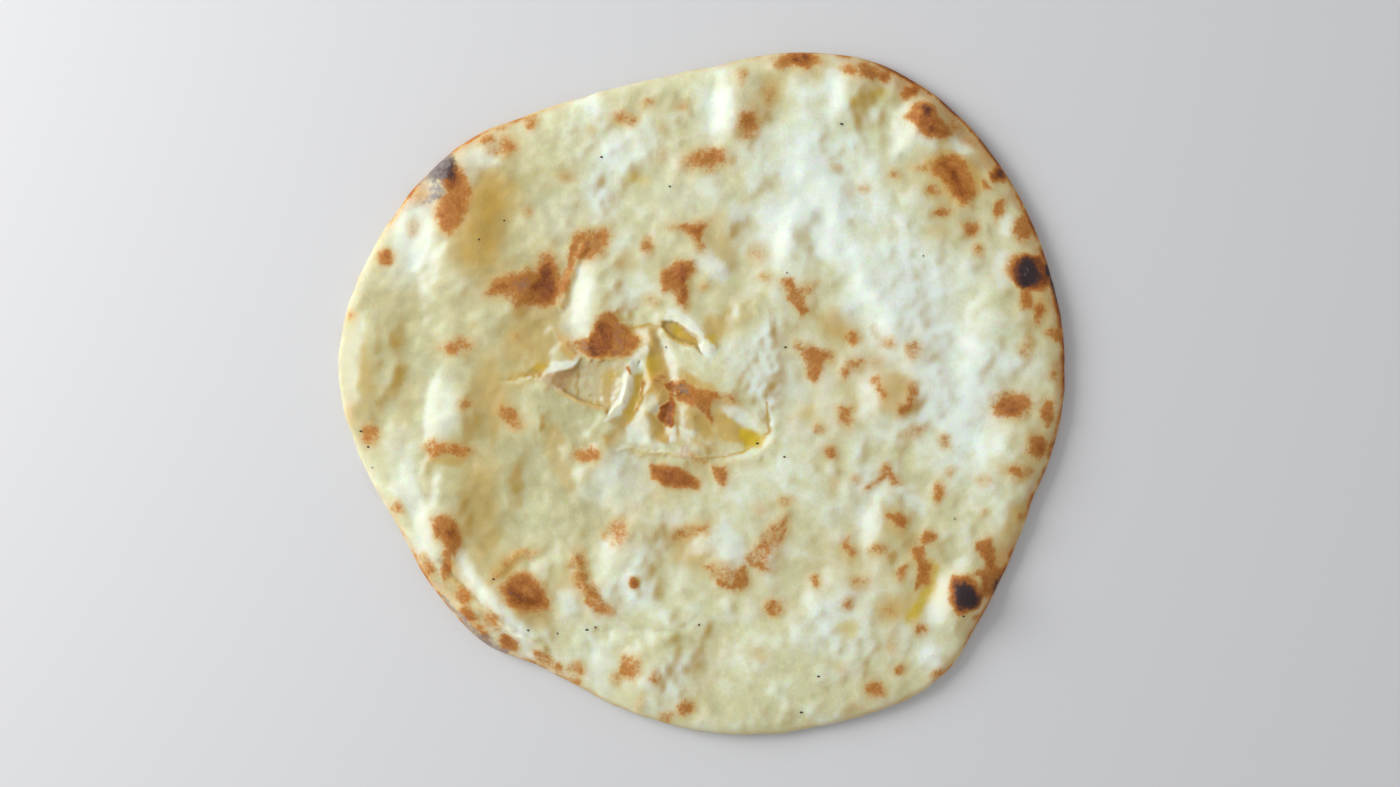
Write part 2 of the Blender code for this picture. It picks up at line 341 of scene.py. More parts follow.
# openings torn in the skin; each floor climbs by its share of the distance beyond its limits in x and y
tears = {
    "window": {
        "outline": [
            (-65.5, 6.4), (-62, 8), (-59.5, 8.9), (-56, 8.8), (-53, 9.7), (-51.9, 11), (-51, 13.6),
            (-48, 13.9), (-46.6, 12.8), (-45.5, 13.8), (-43, 13), (-40, 13.2), (-36, 12.9), (-33, 13.2),
            (-31, 12.8), (-30.2, 10.6), (-31, 7.6), (-32, 6.8), (-32.2, 3), (-33, -1), (-33.8, -4),
            (-36, -6), (-38, -8), (-39.5, -10.2), (-40.2, -9), (-40, -7), (-42, -6.4), (-46, -5.8),
            (-50, -4.4), (-54, -2.4), (-57, -0.2), (-58, 1), (-60, 1.6), (-62, 2.6), (-64, 4), (-65, 5),
        ],
        "floor": 6.5,
        "climb": 0.24,
        "limits": ((-51, -38), (-2, 6)),
    },
    "slit": {
        "outline": [
            (-17, 26.6), (-16.8, 28.9), (-15, 29.6), (-12.5, 29.3), (-10, 28.2), (-7, 26.4), (-4, 23.8),
            (-1, 21.3), (0.2, 20.2), (-0.8, 18.8), (-0.6, 16.6), (0.4, 15.2), (-1.5, 16.6), (-3.5, 18.2),
            (-7, 19.6), (-10, 20.6), (-12.5, 21.6), (-14.5, 24), (-16, 25.6),
        ],
        "floor": 8.0,
        "climb": 0.2,
        "limits": ((-20, -2), (10, 40)),
    },
    "pinhole": {
        "outline": [
            (-26.9, 9.4), (-26.8, 12), (-26, 13.3), (-25.5, 12), (-26, 10), (-26.4, 9.2),
        ],
        "floor": 7.6,
        "climb": 0.0,
        "limits": ((-30, -20), (0, 20)),
    },
}


def tornFloor(x, y, tear):
    (lowX, highX), (lowY, highY) = tear["limits"]
    beyond = np.maximum(0.0, np.maximum(lowX - x, x - highX))
    beyond += np.maximum(0.0, np.maximum(lowY - y, y - highY))
    return tear["floor"] + tear["climb"] * beyond


# round spots of each colour: x, y, length, width, turn, strength
spots = {
    "toast": [
        (0, 43, 3, 3, 0, 0.5), (-1, 60, 6, 4, 80, 0.6), (1, 95, 16, 8, 5, 0.72),
        (19, 110, 11, 7, 80, 0.7), (27, 122, 9, 5, 80, 0.45), (40, 137, 11, 6, -5, 1.0),
        (34, 135, 12, 5, 0, 0.7), (46, 136, 6, 4, 0, 0.7), (-48, -26, 9, 5, 0, 0.75),
        (-101, 18.5, 12, 5, 5, 0.65), (-79, -10, 11, 6, -45, 0.7), (-97, -5, 7, 4, 0, 0.5),
        (-52, -70, 9, 6, 70, 0.6), (-50, -76, 8, 6, -70, 0.7), (-45, -84, 12, 5, -60, 0.75),
        (-40, -89, 8, 4, -40, 0.6), (-34, -57, 10, 7, 80, 0.6), (29, -88, 7, 6, 0, 0.8),
        (46, -77, 4, 4, 0, 0.6), (-30, -113, 9, 7, 80, 0.75), (-35, -117, 6, 4, 0, 0.45),
        (-20, -117, 5, 3, 80, 0.6), (-7, -130, 7, 5, 20, 0.8), (-15, -134, 6, 4, 20, 0.6),
        (-26, -128, 8, 3, 80, 0.4), (-52, -114, 6, 5, 0, 0.7), (-53, -119, 4, 3, 0, 0.6),
        (68, 131, 10, 6, -15, 0.8), (60, 132, 5, 4, 0, 0.8), (75, 129, 4, 4, 0, 0.8),
        (132, 67, 9, 7, 80, 0.8), (142, -8, 9, 5, 80, 0.85), (138, -22, 9, 8, 60, 0.85),
        (127, -6, 14, 9, 5, 0.9), (130, -33, 11, 5, -10, 0.65), (95, 82, 6, 5, 0, 0.6),
        (99, 73.5, 8, 4, 0, 0.6), (90, 91.5, 6, 3, 0, 0.6), (79, 89, 5, 4, 0, 0.55),
        (54, 92, 2.5, 2, 0, 0.5), (66, 83, 3, 2.5, 0, 0.45), (122, 75.5, 8, 4, 75, 0.7),
        (110.5, 67, 6, 5, 0, 0.75), (113.5, 58.5, 5, 4, 80, 0.65), (97, 65, 7, 5, 0, 0.3),
        (138.5, 32, 8, 4, 80, 0.75), (145, 24, 6, 5, 0, 0.8), (133, 18, 7, 4, 80, 0.6),
        (145, 8, 6, 5, 80, 0.55), (62, 22, 4, 4, 0, 0.65), (71, 12, 7, 5, 0, 0.3),
        (86, 17, 7, 5, 80, 0.6), (76, 20, 6, 3, 30, 0.4), (86, 0, 6, 4, 80, 0.6), (48, -15, 4, 4, 0, 0.5),
        (52.5, -24.5, 5, 5, 0, 0.6), (87, -16, 9, 4, 20, 0.5), (99.5, -21, 5, 4, 80, 0.55),
        (54, -38, 4, 4, 0, 0.4), (63, -36, 4, 4, 0, 0.4), (97, -41, 8, 4, 80, 0.75),
        (102, -33, 3, 3, 0, 0.5), (116, -36, 5, 5, 0, 0.4), (34, -46, 5, 4, 0, 0.55),
        (24, -48, 6, 4, 0, 0.3), (72, -64, 6, 4, 0, 0.55), (77, -67, 4, 3, 0, 0.5),
        (64, -78, 6, 4, 0, 0.5), (60, -87, 4, 4, 0, 0.55), (77, -90, 4, 4, 0, 0.5),
        (90, -97, 5, 4, 80, 0.6), (78, -102, 7, 4, 80, 0.4), (71, -122, 7, 5, -20, 0.8),
        (81, -114, 4, 4, 0, 0.6), (57, -113, 4, 4, 0, 0.3), (61, -130, 6, 3, 10, 0.3),
        (116, -50, 2.5, 2.5, 0, 0.6), (131, -51, 4, 4, 0, 0.6), (112, -93, 3, 3, 0, 0.6),
        (97, -116, 6, 5, 40, 0.7), (-131, 55, 6, 5, 0, 0.75), (-119, 67, 6, 4, 80, 0.35),
        (-71, 111, 7, 5, 80, 0.65), (-83, 108.5, 5, 4, 0, 0.65), (-89, 103, 6, 4, 0, 0.7),
        (-80, 101, 8, 6, -20, 0.7), (-86, 98.5, 5, 3, 0, 0.5), (-72, 74, 3, 3, 0, 0.4),
        (-56, 88, 6, 3, 0, 0.45), (-32, 112, 10, 5, 0, 0.55), (-23, 118, 6, 4, 0, 0.45),
        (-8, 117.5, 5, 3, 0, 0.5), (-46, 107, 3, 3, 0, 0.3), (-17, 108, 3, 3, 0, 0.3),
        (16, 129, 6, 4, 80, 0.55), (-17, 97, 5, 3, 80, 0.35), (-23, 60, 7, 5, 80, 0.55),
        (-33, 53, 7, 5, 0, 0.3), (22, 57, 8, 7, 60, 0.35), (25, 47.5, 5, 3, 0, 0.55),
        (-21, 37, 6, 3, 0, 0.45), (-77, 23, 4, 3, 0, 0.4), (-72, 19, 3, 3, 0, 0.4),
        (-95, 27, 2, 2, 0, 0.3), (-145, 31, 3, 3, 0, 0.6), (-137, -18, 8, 6, 80, 0.7),
        (-145, -10, 10, 4, 82, 0.35), (-126, -48, 5, 4, 80, 0.6), (-99, -83, 8, 5, -45, 0.8),
        (-97, -91, 7, 5, -40, 0.75), (-87, -93, 10, 6, -40, 0.6), (-80, -103, 8, 5, -35, 0.8),
        (-28.5, -78, 2.5, 2.5, 0, 0.9), (-40, -59, 2.5, 2.5, 0, 0.6), (24, -108, 5, 4, 0, 0.3),
        (-66, -109, 9, 4, -30, 0.7), (-60, -113, 6, 4, -30, 0.6), (-113, -72, 9, 4, -55, 0.7),
        (-92, -98, 8, 4, -45, 0.7),
    ],
    "char": [
        (-104, -57, 7, 5, 80, 0.2), (127, -6, 8, 5, 0, 0.3), (-90, -102, 16, 3, -40, 0.5),
        (40, 137, 6, 3, 0, 0.3),
    ],
    "ash": [
        (-85, -105, 14, 4, -40, 0.8), (-96, -98, 10, 4, -45, 0.7), (3, -62, 10, 4, -20, 0.35),
    ],
    # golden dough, much of it painted shade in the hollows and on the sides of the bumps away from the light
    "gold": [
        (-90, 70, 46, 19, 84, 0.95), (-93, -43, 32, 13, 84, 0.6), (-91, -64, 22, 10, 75, 0.6),
        (-88, 0, 27, 11, 84, 0.62), (-75, 20, 26, 15, 80, 0.5), (-128, 30, 34, 18, 86, 0.2),
        (-139, 5, 24, 6, 88, 0.6), (-124, -8, 28, 7, 82, 0.25), (8, 60, 24, 12, 80, 0.4),
        (0, -112, 28, 14, 80, 0.2), (27, 122, 16, 8, 80, 0.6), (-60, 28, 14, 18, 0, 0.4),
        (-72, -90, 18, 8, -38, 0.8), (-84, -72, 14, 7, 40, 0.5), (-104, -26, 20, 8, 20, 0.5),
        (52, 132, 40, 10, -10, 0.4), (110, 105, 60, 12, -45, 0.5), (-95, 97, 30, 14, 35, 0.5),
        (105, 86, 26, 24, 0, 0.4), (-54, -84, 20, 8, -55, 0.4), (64, -70, 36, 26, 20, 0.25),
        (68, 6, 40, 30, 0, 0.22), (-20, -46, 22, 14, 0, 0.2), (5, -28, 26, 12, 0, 0.3),
        (40, -10, 16, 12, 80, 0.3), (-118, 100, 20, 10, 50, 0.5),
    ],
    "butter": [
        (60, -97, 7, 6, 0, 0.6), (62, 118.5, 3, 3, 0, 0.5), (73, 122, 4, 3, 0, 0.5),
        (-27, 87, 8, 3, 0, 0.5),
    ],
    # pale dough with painted highlights on the slopes that face the light
    "pale": [
        (-120, 62, 28, 15, 84, 1.0), (-92, 96, 26, 8, 35, 0.7), (-49, 36, 30, 8, 84, 1.0),
        (6, 115, 24, 9, 84, 0.9), (55, 124, 22, 7, 75, 0.9), (84, 106, 20, 7, 60, 0.9),
        (30, 65, 14, 9, 70, 0.9), (42, 76, 22, 9, -52, 0.9), (72, 34, 36, 9, -58, 0.8),
        (-107, -7, 24, 8, 84, 0.9), (-125, -37, 18, 6, 80, 0.8), (-115, -58, 22, 7, 78, 0.9),
        (-96, -76, 26, 5, -55, 0.9), (-80, -94, 26, 5, -40, 0.8), (-38, -32, 22, 7, 70, 0.9),
        (-41, -114, 20, 8, 84, 0.7), (97, -88, 18, 9, 75, 1.0), (68, -53, 14, 6, 80, 0.8),
        (82, -100, 10, 7, 60, 0.7), (-32, 100, 22, 14, 0, 0.5), (13, -66, 11, 8, 20, 1.0),
        (40, 4, 30, 12, -60, 0.4), (105, 40, 40, 26, 60, 0.35), (-60, -30, 20, 12, 0, 0.1),
        (110, 5, 40, 30, 0, 0.3), (-5, 80, 30, 16, 0, 0.35), (-60, 72, 20, 14, 0, 0.3),
        (38, 100, 40, 22, 0, 0.35),
    ],
}

# patches of each colour: strength, soft edge, outline
patches = {
    "toast": [
        # the torn middle
        (0.5, 2.0, [(-58.5, 21), (-55, 21), (-53, 17), (-51.5, 14), (-53.5, 13.4), (-56.5, 17)]),
        (0.75, 1.8, [(-53, 20.5), (-50, 22), (-46, 21), (-44, 26), (-42.5, 32), (-36, 33), (-34.5, 28),
            (-29, 25), (-26.5, 22), (-27, 18), (-31, 14.2), (-37, 14), (-44, 13.8), (-49, 15),
            (-52, 17)]),
        (1.0, 2.0, [(-47, 14.6), (-48, 20), (-44.5, 24), (-42.5, 30), (-38, 29), (-36.6, 22), (-37, 16.6),
            (-42, 14)]),
        (0.5, 1.8, [(-21, 6.4), (-16, 8), (-13.4, 4), (-14.6, -1.6), (-18, 0.4), (-21.6, 1.4)]),
        (1.0, 0.8, [(-15.6, 3.2), (-12.8, 4.2), (-11.8, 1.6), (-13.6, 0.6), (-15, 1.6)]),
        (0.75, 1.6, [(-12.6, 3.6), (-8, 4.2), (-4, 2.4), (0, 0.6), (6, 0), (7, -2.4), (4.6, -4),
            (3, -7.6), (5.2, -12), (4, -13.4), (1.6, -9), (-2.6, -5.6), (-7, -4.6), (-11, -3.4)]),
        (0.5, 1.4, [(6, -0.6), (11.6, -1.2), (14.6, -4.2), (13, -5.8), (8, -3.4)]),
        (1.05, 0.9, [(-13.6, -3.6), (-11.8, -5.4), (-12.2, -10), (-13.6, -14), (-16.4, -12.6),
            (-18.2, -10), (-17.4, -7), (-15, -4.8)]),
        (0.4, 1.0, [(-19, -2), (-16.4, -1.4), (-15.6, -3.8), (-17.4, -5), (-19, -3.8)]),
        (0.5, 1.4, [(-5, -25.6), (-1, -26.4), (1.6, -28), (0.6, -29.8), (-3, -29.4)]),
        (0.34, 1.2, [(-5, -19.4), (0, -21), (5, -23.4), (3.6, -24.4), (-2, -22.4)]),
        # the skin around it
        (0.72, 3.0, [(-89, 40), (-86, 46), (-82, 49), (-73, 50), (-69, 50), (-67, 56), (-63, 58),
            (-60, 54), (-59, 48), (-57, 43), (-59, 36), (-66, 34.5), (-73, 35.5), (-76, 33), (-79, 38),
            (-83, 39)]),
        (1.08, 2.6, [(-72, 42), (-69, 47), (-66, 53), (-62.5, 54), (-61, 47), (-59.5, 40), (-62, 36),
            (-68, 36.5)]),
        (0.95, 2.0, [(-86, 42), (-82, 45.5), (-79, 44), (-80, 41)]),
        (0.72, 2.8, [(-53, 64), (-50, 65.5), (-44, 66), (-40, 68), (-38, 65), (-39, 60), (-42, 56),
            (-47, 53), (-52, 54), (-54, 58)]),
        (0.85, 2.0, [(83.6, 112), (87, 117.5), (91, 119), (95, 117), (97, 112.5), (101, 109), (102, 105),
            (98, 103), (92.5, 104.5), (87.5, 107.5)]),
        (1.05, 1.8, [(91, 109), (96, 109), (100, 106), (97.5, 104.4), (93, 106)]),
        (1.15, 1.6, [(88.4, 115.4), (91, 117.6), (94.4, 116), (94.4, 112.4), (91, 111.4)]),
        (0.66, 2.0, [(100, 111), (104, 112), (108, 108), (103, 106)]),
        (0.95, 1.8, [(81, 122), (84, 125), (90, 125), (88, 121.5), (84, 120)]),
        (0.8, 2.2, [(93.5, 93.5), (97, 97), (103, 97), (108, 94), (111, 89), (112, 82), (109.5, 77),
            (106, 76), (103, 79.5), (99.5, 85), (95, 89)]),
        (1.0, 2.2, [(96, 93.5), (100, 95), (104, 91), (107, 86), (109, 80), (107, 77.5), (104, 81),
            (101, 87)]),
        (0.6, 2.0, [(93, 80), (96, 86), (97.5, 80)]),
        (0.8, 1.4, [(114.5, 86.5), (116, 87), (118.5, 83), (116.5, 83)]),
        (1.1, 2.2, [(118.5, 90), (122, 93), (126, 89), (124, 86), (120, 86.5)]),
        (0.82, 2.8, [(-17, 46), (-15, 51), (-9, 54), (-4, 53), (-4, 50), (-6.8, 46), (-6.5, 40),
            (-7, 34.5), (-9.5, 36), (-11, 40), (-16, 42)]),
        (0.66, 2.4, [(-14, 68), (-6, 68.8), (3, 69.8), (1, 66), (-0.5, 60.5), (-3.5, 62), (-7, 65)]),
        (0.92, 1.8, [(-6, 66.5), (0, 68), (-0.5, 61)]),
        (0.78, 2.8, [(38, 20), (42, 18), (52, 17), (53.5, 14), (50, 12), (48.5, 6), (46.5, 4), (43, 7),
            (43, 12)]),
        (0.66, 2.2, [(56, 8), (59, 12), (66, 13.5), (65, 9), (61, 8), (58, 5)]),
        (0.62, 1.8, [(69, 5), (72, 6.5), (74, 2), (76, -2), (72.5, -3), (71, 2)]),
        (0.74, 2.0, [(84, -1), (87, -4), (84, -8), (80.5, -9), (80, -6), (83, -5)]),
        (0.62, 2.2, [(55, -6), (61, -7), (62, -12), (60, -16), (57, -14), (56, -9)]),
        (0.55, 2.4, [(0, -71), (5, -70), (11, -70), (13, -77), (14, -83), (10, -80), (4, -76)]),
        (0.7, 2.0, [(12, -74), (17, -72), (19, -78), (16, -82), (14, -80)]),
        (0.66, 2.2, [(21, -69), (26, -67.5), (27, -73), (23, -73.5)]),
        (0.6, 2.6, [(18, -68), (24, -60), (29, -55), (35, -51), (35.5, -57), (30, -64), (25, -70),
            (20, -72)]),
        (0.55, 2.2, [(-13, -60), (-11, -56), (-4, -54), (2, -54), (1, -57), (-5, -59), (-9, -62.5),
            (-12, -62.5)]),
        (0.98, 2.2, [(-21, -31), (-12, -31), (-6, -34), (-1, -37), (-2, -39), (-8, -40), (-15, -38),
            (-21, -35)]),
        (0.7, 1.6, [(4, -31), (9, -31), (10, -38), (7, -39.5), (5, -36)]),
        (0.78, 1.8, [(75, -50), (80, -49), (84, -53), (82, -56), (78, -53)]),
        (0.74, 1.8, [(89, -60), (92, -57), (96, -59), (95, -62), (91, -62)]),
        (0.8, 2.0, [(86, -64), (91, -63), (90, -69), (94, -71), (93, -78), (88, -80), (88, -70),
            (86, -67)]),
        (0.68, 2.2, [(58, -60), (60, -59), (63, -65), (61, -68), (57, -65)]),
        (0.78, 1.6, [(80, -74), (84, -71), (82, -77)]),
        (0.66, 1.8, [(74, -30), (77, -30), (79, -34), (82, -37), (79, -38), (76, -35), (71, -38),
            (67, -40), (69, -37.5), (73, -35)]),
        (0.66, 2.0, [(33, 46), (36, 46), (38, 42), (42, 44), (47, 45), (44, 41), (42, 37), (45, 31),
            (41, 33), (38, 35), (35, 38), (34, 42)]),
        (0.9, 1.6, [(37, 36), (40, 37), (42, 32), (40, 32)]),
        (0.8, 2.8, [(125, 51), (128, 56), (133, 57), (140, 56), (144, 50), (144, 44), (140, 41),
            (134, 42), (129, 44), (126, 47)]),
        (1.2, 1.8, [(127, 49), (128.5, 54), (133, 57), (139, 55.5), (142.6, 50), (141.6, 44), (137, 41.6),
            (132, 42.4), (128, 45)]),
        (0.95, 2.4, [(141, 53), (145, 50), (149, 42), (151, 30), (147, 28), (145, 38), (142, 45)]),
        (0.74, 2.0, [(130.5, 42), (135, 42), (135, 34), (131, 34)]),
        (1.15, 2.0, [(101.5, -80), (103.6, -75.4), (108, -75.6), (112, -79), (114.6, -84), (112, -88),
            (106, -90.4), (102.6, -87.6), (101, -84)]),
        (0.86, 2.2, [(112.5, -62), (116, -61), (118, -59.5), (120, -64), (120, -70), (124, -73),
            (125, -76), (121, -83), (117, -85.5), (113, -83), (115, -78), (111, -74.5), (113, -73),
            (117, -74), (116.5, -70), (113, -65)]),
        (1.1, 2.4, [(-110, 94), (-105, 95), (-101.6, 92), (-100.6, 85), (-104, 81.6), (-106, 84),
            (-108, 88)]),
        (0.8, 3.0, [(-107, 80), (-103, 83), (-100, 91), (-96.6, 86), (-95, 82), (-96, 74), (-99, 70),
            (-101, 66), (-104, 64), (-107.4, 67), (-110, 71), (-109, 76)]),
        (1.0, 2.0, [(-102, 80), (-99, 81), (-98, 74), (-101, 74)]),
        (0.84, 2.8, [(-84, -80), (-79, -76), (-73, -74), (-67, -78), (-64, -84), (-63.6, -88),
            (-69, -90.4), (-76, -89), (-81, -85)]),
        (1.1, 2.4, [(-82, -81), (-78, -78.6), (-74, -82), (-68, -85.4), (-66, -88), (-72, -88.5),
            (-78, -86)]),
        (0.92, 2.6, [(-108.6, -60), (-105, -52), (-101.6, -54), (-100.6, -61), (-103.6, -64)]),
        (0.75, 2.0, [(-106, -65), (-103.6, -64), (-103, -70), (-104.6, -75.6), (-107, -73)]),
        (0.62, 1.6, [(-115, -22), (-112, -19), (-108, -21.5), (-100, -21), (-94, -25), (-99, -26.5),
            (-106, -25), (-112, -27)]),
        (0.5, 1.6, [(-113, -20), (-110, -18.6), (-108, -23), (-111, -25)]),
        (0.42, 1.4, [(-88, -80), (-87, -74), (-82, -68), (-74, -65), (-66, -64), (-70, -68), (-78, -71),
            (-84, -76)]),
        (0.85, 2.4, [(-111, -52), (-106, -51), (-102, -55), (-99.6, -62), (-101, -67), (-104, -66),
            (-106, -62), (-110, -60)]),
        (0.6, 1.6, [(-107, -66), (-103, -66), (-103, -73), (-106, -80), (-107.6, -76)]),
        (0.42, 2.0, [(-122, 79), (-117, 84), (-113, 82), (-115, 77.6)]),
    ],
    "char": [
        # the torn middle
        (0.3, 1.8, [(-48, 14.4), (-47.6, 20), (-44, 20), (-43.4, 14)]),
        (0.42, 1.2, [(-13, 0.6), (-11.4, 3), (-8.6, 3.4), (-7.4, 0.6), (-8.4, -1.8), (-12, -2)]),
        # the skin around it
        (0.5, 1.6, [(89.6, 115.4), (91.6, 117), (94, 115), (92.4, 112.6)]),
        (0.5, 1.6, [(121, 90), (123, 91.6), (125.6, 88.6), (123, 87)]),
        (0.95, 2.4, [(130, 50), (132.5, 54.5), (135.6, 54), (138, 50.6), (139, 47), (136, 44),
            (132, 43.5), (130, 46)]),
        (1.0, 1.6, [(142, 52), (144, 51), (146, 47), (148, 42), (149.5, 36), (148, 36), (146, 41),
            (143.5, 45), (142.5, 48)]),
        (1.0, 2.4, [(103.6, -79.4), (107, -78), (111, -80.6), (113, -84), (110.6, -87.4), (106.4, -88),
            (103.4, -85)]),
        (0.7, 1.6, [(119.5, -80), (121, -77), (125, -74.5), (123.6, -79.5), (120.5, -83.5)]),
        (0.8, 2.0, [(-110, 93), (-105, 95), (-102, 92), (-103, 88), (-108, 88)]),
        (0.9, 1.2, [(-110.6, 91.6), (-108, 91.4), (-108.4, 89.4), (-111, 89.6)]),
        (0.8, 1.2, [(-118, 88.6), (-116, 88.6), (-116.6, 85.6)]),
        (0.92, 2.4, [(-113, 92), (-108, 97), (-103, 96), (-102, 92), (-105, 88), (-109, 86), (-112, 88)]),
        (0.6, 1.6, [(-119, 88), (-116.4, 90), (-115, 87), (-117.6, 85)]),
        (0.5, 1.6, [(-112, 84), (-108.6, 84), (-107, 80), (-110, 78)]),
        (0.42, 2.0, [(-121, 85), (-113, 94), (-107, 98), (-108, 92), (-113, 87), (-118, 84)]),
    ],
    "ash": [
        # the torn middle; its first two patches are greyish burnt skin with a painted sheen on it
        (0.5, 1.4, [(-52.5, 18.2), (-50.5, 21.4), (-47.5, 20.6), (-46.8, 16.6), (-49.5, 16.4)]),
        (0.4, 1.6, [(-36.6, 15), (-36.4, 22), (-37.6, 28.5), (-34.6, 28.6), (-32.4, 22), (-32.6, 14.2)]),
        (0.62, 1.0, [(-10, 2), (-6, 2.6), (-5.4, -0.6), (-8.6, -1.2)]),
        # the skin around it
        (0.42, 2.4, [(-80, 42), (-78, 47), (-71, 47), (-70, 42), (-75, 40)]),
        (0.38, 2.4, [(-48, 61), (-44, 65), (-41, 62), (-44, 58)]),
        (0.4, 1.6, [(131, 46), (132, 51.5), (134, 52), (133, 45)]),
        (0.42, 1.6, [(103, -79.5), (105, -80), (105.5, -84), (103, -84)]),
        (0.4, 2.0, [(-82, -80), (-78, -79), (-77, -84), (-80, -84)]),
        (0.75, 1.6, [(-122, 83), (-116, 92), (-108, 98.4), (-103, 98), (-104, 93), (-106, 86), (-106, 80),
            (-111, 77), (-116, 76.5), (-112, 81), (-112, 86), (-117, 86)]),
    ],
    "gold": [
        # the torn middle, where much of the gold is painted shade in the folds and valleys
        (0.55, 3.0, [(-72, 9), (-71, 30), (-61, 32), (-61, 16), (-64, 9)]),
        (0.9, 1.2, [(-79, 7.5), (-70, 8.6), (-68, 10.8), (-64.5, 11), (-65, 7.2), (-72, 6)]),
        (0.5, 2.0, [(-80, 5), (-72, 5.5), (-66, 6), (-74, 2.5), (-80, 0)]),
        (1.0, 1.5, [(-60, 25), (-55, 24), (-53.5, 18), (-52, 13.8), (-54.5, 13.2), (-57.5, 17),
            (-60, 21)]),
        (1.0, 0.8, [(-42, 13.4), (-41, 15.2), (-37, 15.8), (-35.6, 13.6)]),
        (0.9, 2.2, [(-30, 25.8), (-17, 26.4), (-17.4, 22.6), (-20, 19), (-25, 18.2), (-28, 20)]),
        (0.55, 2.0, [(-42, -6.2), (-41.5, 6), (-38.5, 9), (-35.4, 8), (-36, 0), (-35.6, -5.8),
            (-38.5, -8.6)]),
        (0.6, 1.0, [(-56.5, -0.4), (-50, -2.8), (-44, -4.4), (-38, -5.4), (-40, -7), (-46, -5.8),
            (-54, -2.4)]),
        (1.0, 1.4, [(-29.4, 8), (-24.6, 8.4), (-24.4, -2), (-27, -8), (-31, -14), (-36, -20), (-36, -23),
            (-39, -21), (-35, -13), (-32.4, -7), (-30.6, -2)]),
        (1.0, 2.0, [(-40, -18.5), (-34.6, -15), (-33.2, -20.4), (-38.6, -23)]),
        (1.15, 1.0, [(-22.4, 16), (-19.6, 20.6), (-17, 18), (-14.8, 13), (-13.9, 8), (-13, 3), (-16, -2),
            (-19, 1), (-22.4, 0), (-25, -3), (-24.4, 6), (-23, 12)]),
        (0.9, 1.6, [(-9.6, 8.6), (-5, 6.4), (0, 3), (5, 1.6), (2, -0.6), (-6, 1.6), (-11, 3.6)]),
        (1.0, 0.9, [(-13.4, 1.4), (-12.8, -4), (-14.6, -5), (-16.4, -6.6), (-15.4, -2)]),
        (1.0, 1.0, [(-22, -9), (-18.4, -9.4), (-17, -13), (-14, -15), (-13.8, -19), (-15.6, -21.4),
            (-19.4, -19), (-21.4, -14)]),
        (0.9, 0.6, [(-11.4, -12), (-10.2, -12.4), (-9.6, -17.6), (-11, -17.8)]),
        (0.85, 1.6, [(-8, -6.6), (-2, -7), (3.6, -12), (4.6, -18), (0, -19), (-3.4, -16), (-4.4, -11.4),
            (-8.4, -9.4)]),
        (0.9, 1.4, [(5, -9), (9.4, -9.4), (14, -12), (20, -16.6), (24, -20), (20, -22), (12, -20.6),
            (6.6, -19)]),
        (0.95, 0.8, [(-17, 26.6), (-16.8, 28.9), (-12.5, 29.3), (-7, 26.4), (-1, 21.3), (-0.8, 18),
            (-7, 19.6), (-12.5, 21.6)]),
        (0.75, 2.0, [(1, 22), (0.6, 30), (8, 31), (12, 33), (10, 28.6), (8.4, 24), (5.6, 19.4),
            (3.6, 20)]),
        # the skin around it: golden halos round the toast, and painted shade on the sides of the bumps away
        # from the light
        (0.95, 3.0, [(91, 93), (98, 98), (108, 97.5), (113, 92), (116, 86), (114, 81), (108, 77),
            (102, 78), (99, 84)]),
        (0.75, 3.0, [(73, 8), (82, 8), (86, 2), (86, -6), (80, -10), (74, -8), (72, -2)]),
        (0.6, 4.0, [(-12, -60), (2, -56), (4, -66), (-4, -72), (-12, -70)]),
        (0.6, 4.0, [(74, -48), (84, -50), (88, -60), (90, -70), (86, -70), (78, -58), (72, -56)]),
        (0.7, 4.0, [(76, -84), (86, -82), (90, -88), (82, -95), (72, -94), (70, -88)]),
        (0.75, 3.0, [(47, 30), (54, 34), (60, 28), (63, 21), (57, 21), (50, 24)]),
        (0.6, 4.0, [(134, 42), (145, 42), (147, 28), (138, 28), (134, 34)]),
        (0.8, 3.0, [(134, -44), (127, -46), (123, -58), (118, -72), (113, -84), (120, -84), (128, -68),
            (135, -52)]),
        (0.9, 2.0, [(-85, -74), (-79, -66.6), (-73, -65), (-76, -70), (-81, -76)]),
        (0.9, 2.6, [(-104, -66), (-101, -66), (-98, -76), (-93, -84), (-97, -86), (-103, -77)]),
        (0.5, 2.0, [(-65.7, -15.6), (-60.5, -13.5), (-57.4, -18.7), (-58.4, -27), (-54, -34),
            (-52.4, -40.6), (-55, -41.6), (-61.5, -33), (-64.6, -25)]),
        (0.45, 2.4, [(-97, -39), (-92.6, -38), (-87.5, -42), (-85.4, -50), (-89.6, -58), (-90.6, -66.6),
            (-94, -73), (-97, -64.5), (-99, -52), (-99, -42)]),
        (0.5, 1.6, [(1, 64.7), (11, 64.7), (14, 56), (7.5, 52.5), (3, 59)]),
        (0.35, 2.4, [(4, 23), (8, 34), (14, 40), (23, 40), (20, 30), (12, 24)]),
        (0.6, 2.4, [(-24, 18), (-15, 20), (-11, 8), (2, 2), (15, -6), (22, -16), (14, -21), (-4, -20),
            (-20, -20), (-31, -12), (-26, 2)]),
        (0.8, 2.0, [(-113, -22), (-104, -22), (-95, -25), (-98, -29), (-106, -30), (-113, -28)]),
        (0.6, 1.6, [(-87.4, 2), (-85, 2), (-84.6, -14), (-86.6, -22), (-88, -14)]),
    ],
    "butter": [
        # the torn middle
        (0.6, 1.5, [(-68, 8.4), (-67.5, 10.6), (-64.6, 11), (-65, 8)]),
        (0.35, 1.5, [(-38, 8.6), (-35.6, 7.6), (-36.6, 5.2), (-39.6, 2)]),
        (0.4, 1.2, [(-28.6, 7.4), (-24.8, 7.8), (-24.8, -1), (-27, -7), (-30, -12), (-31, -8), (-29, 2)]),
        (0.6, 1.6, [(-22.8, 14), (-19, 12.6), (-19.6, 6), (-23.4, 5)]),
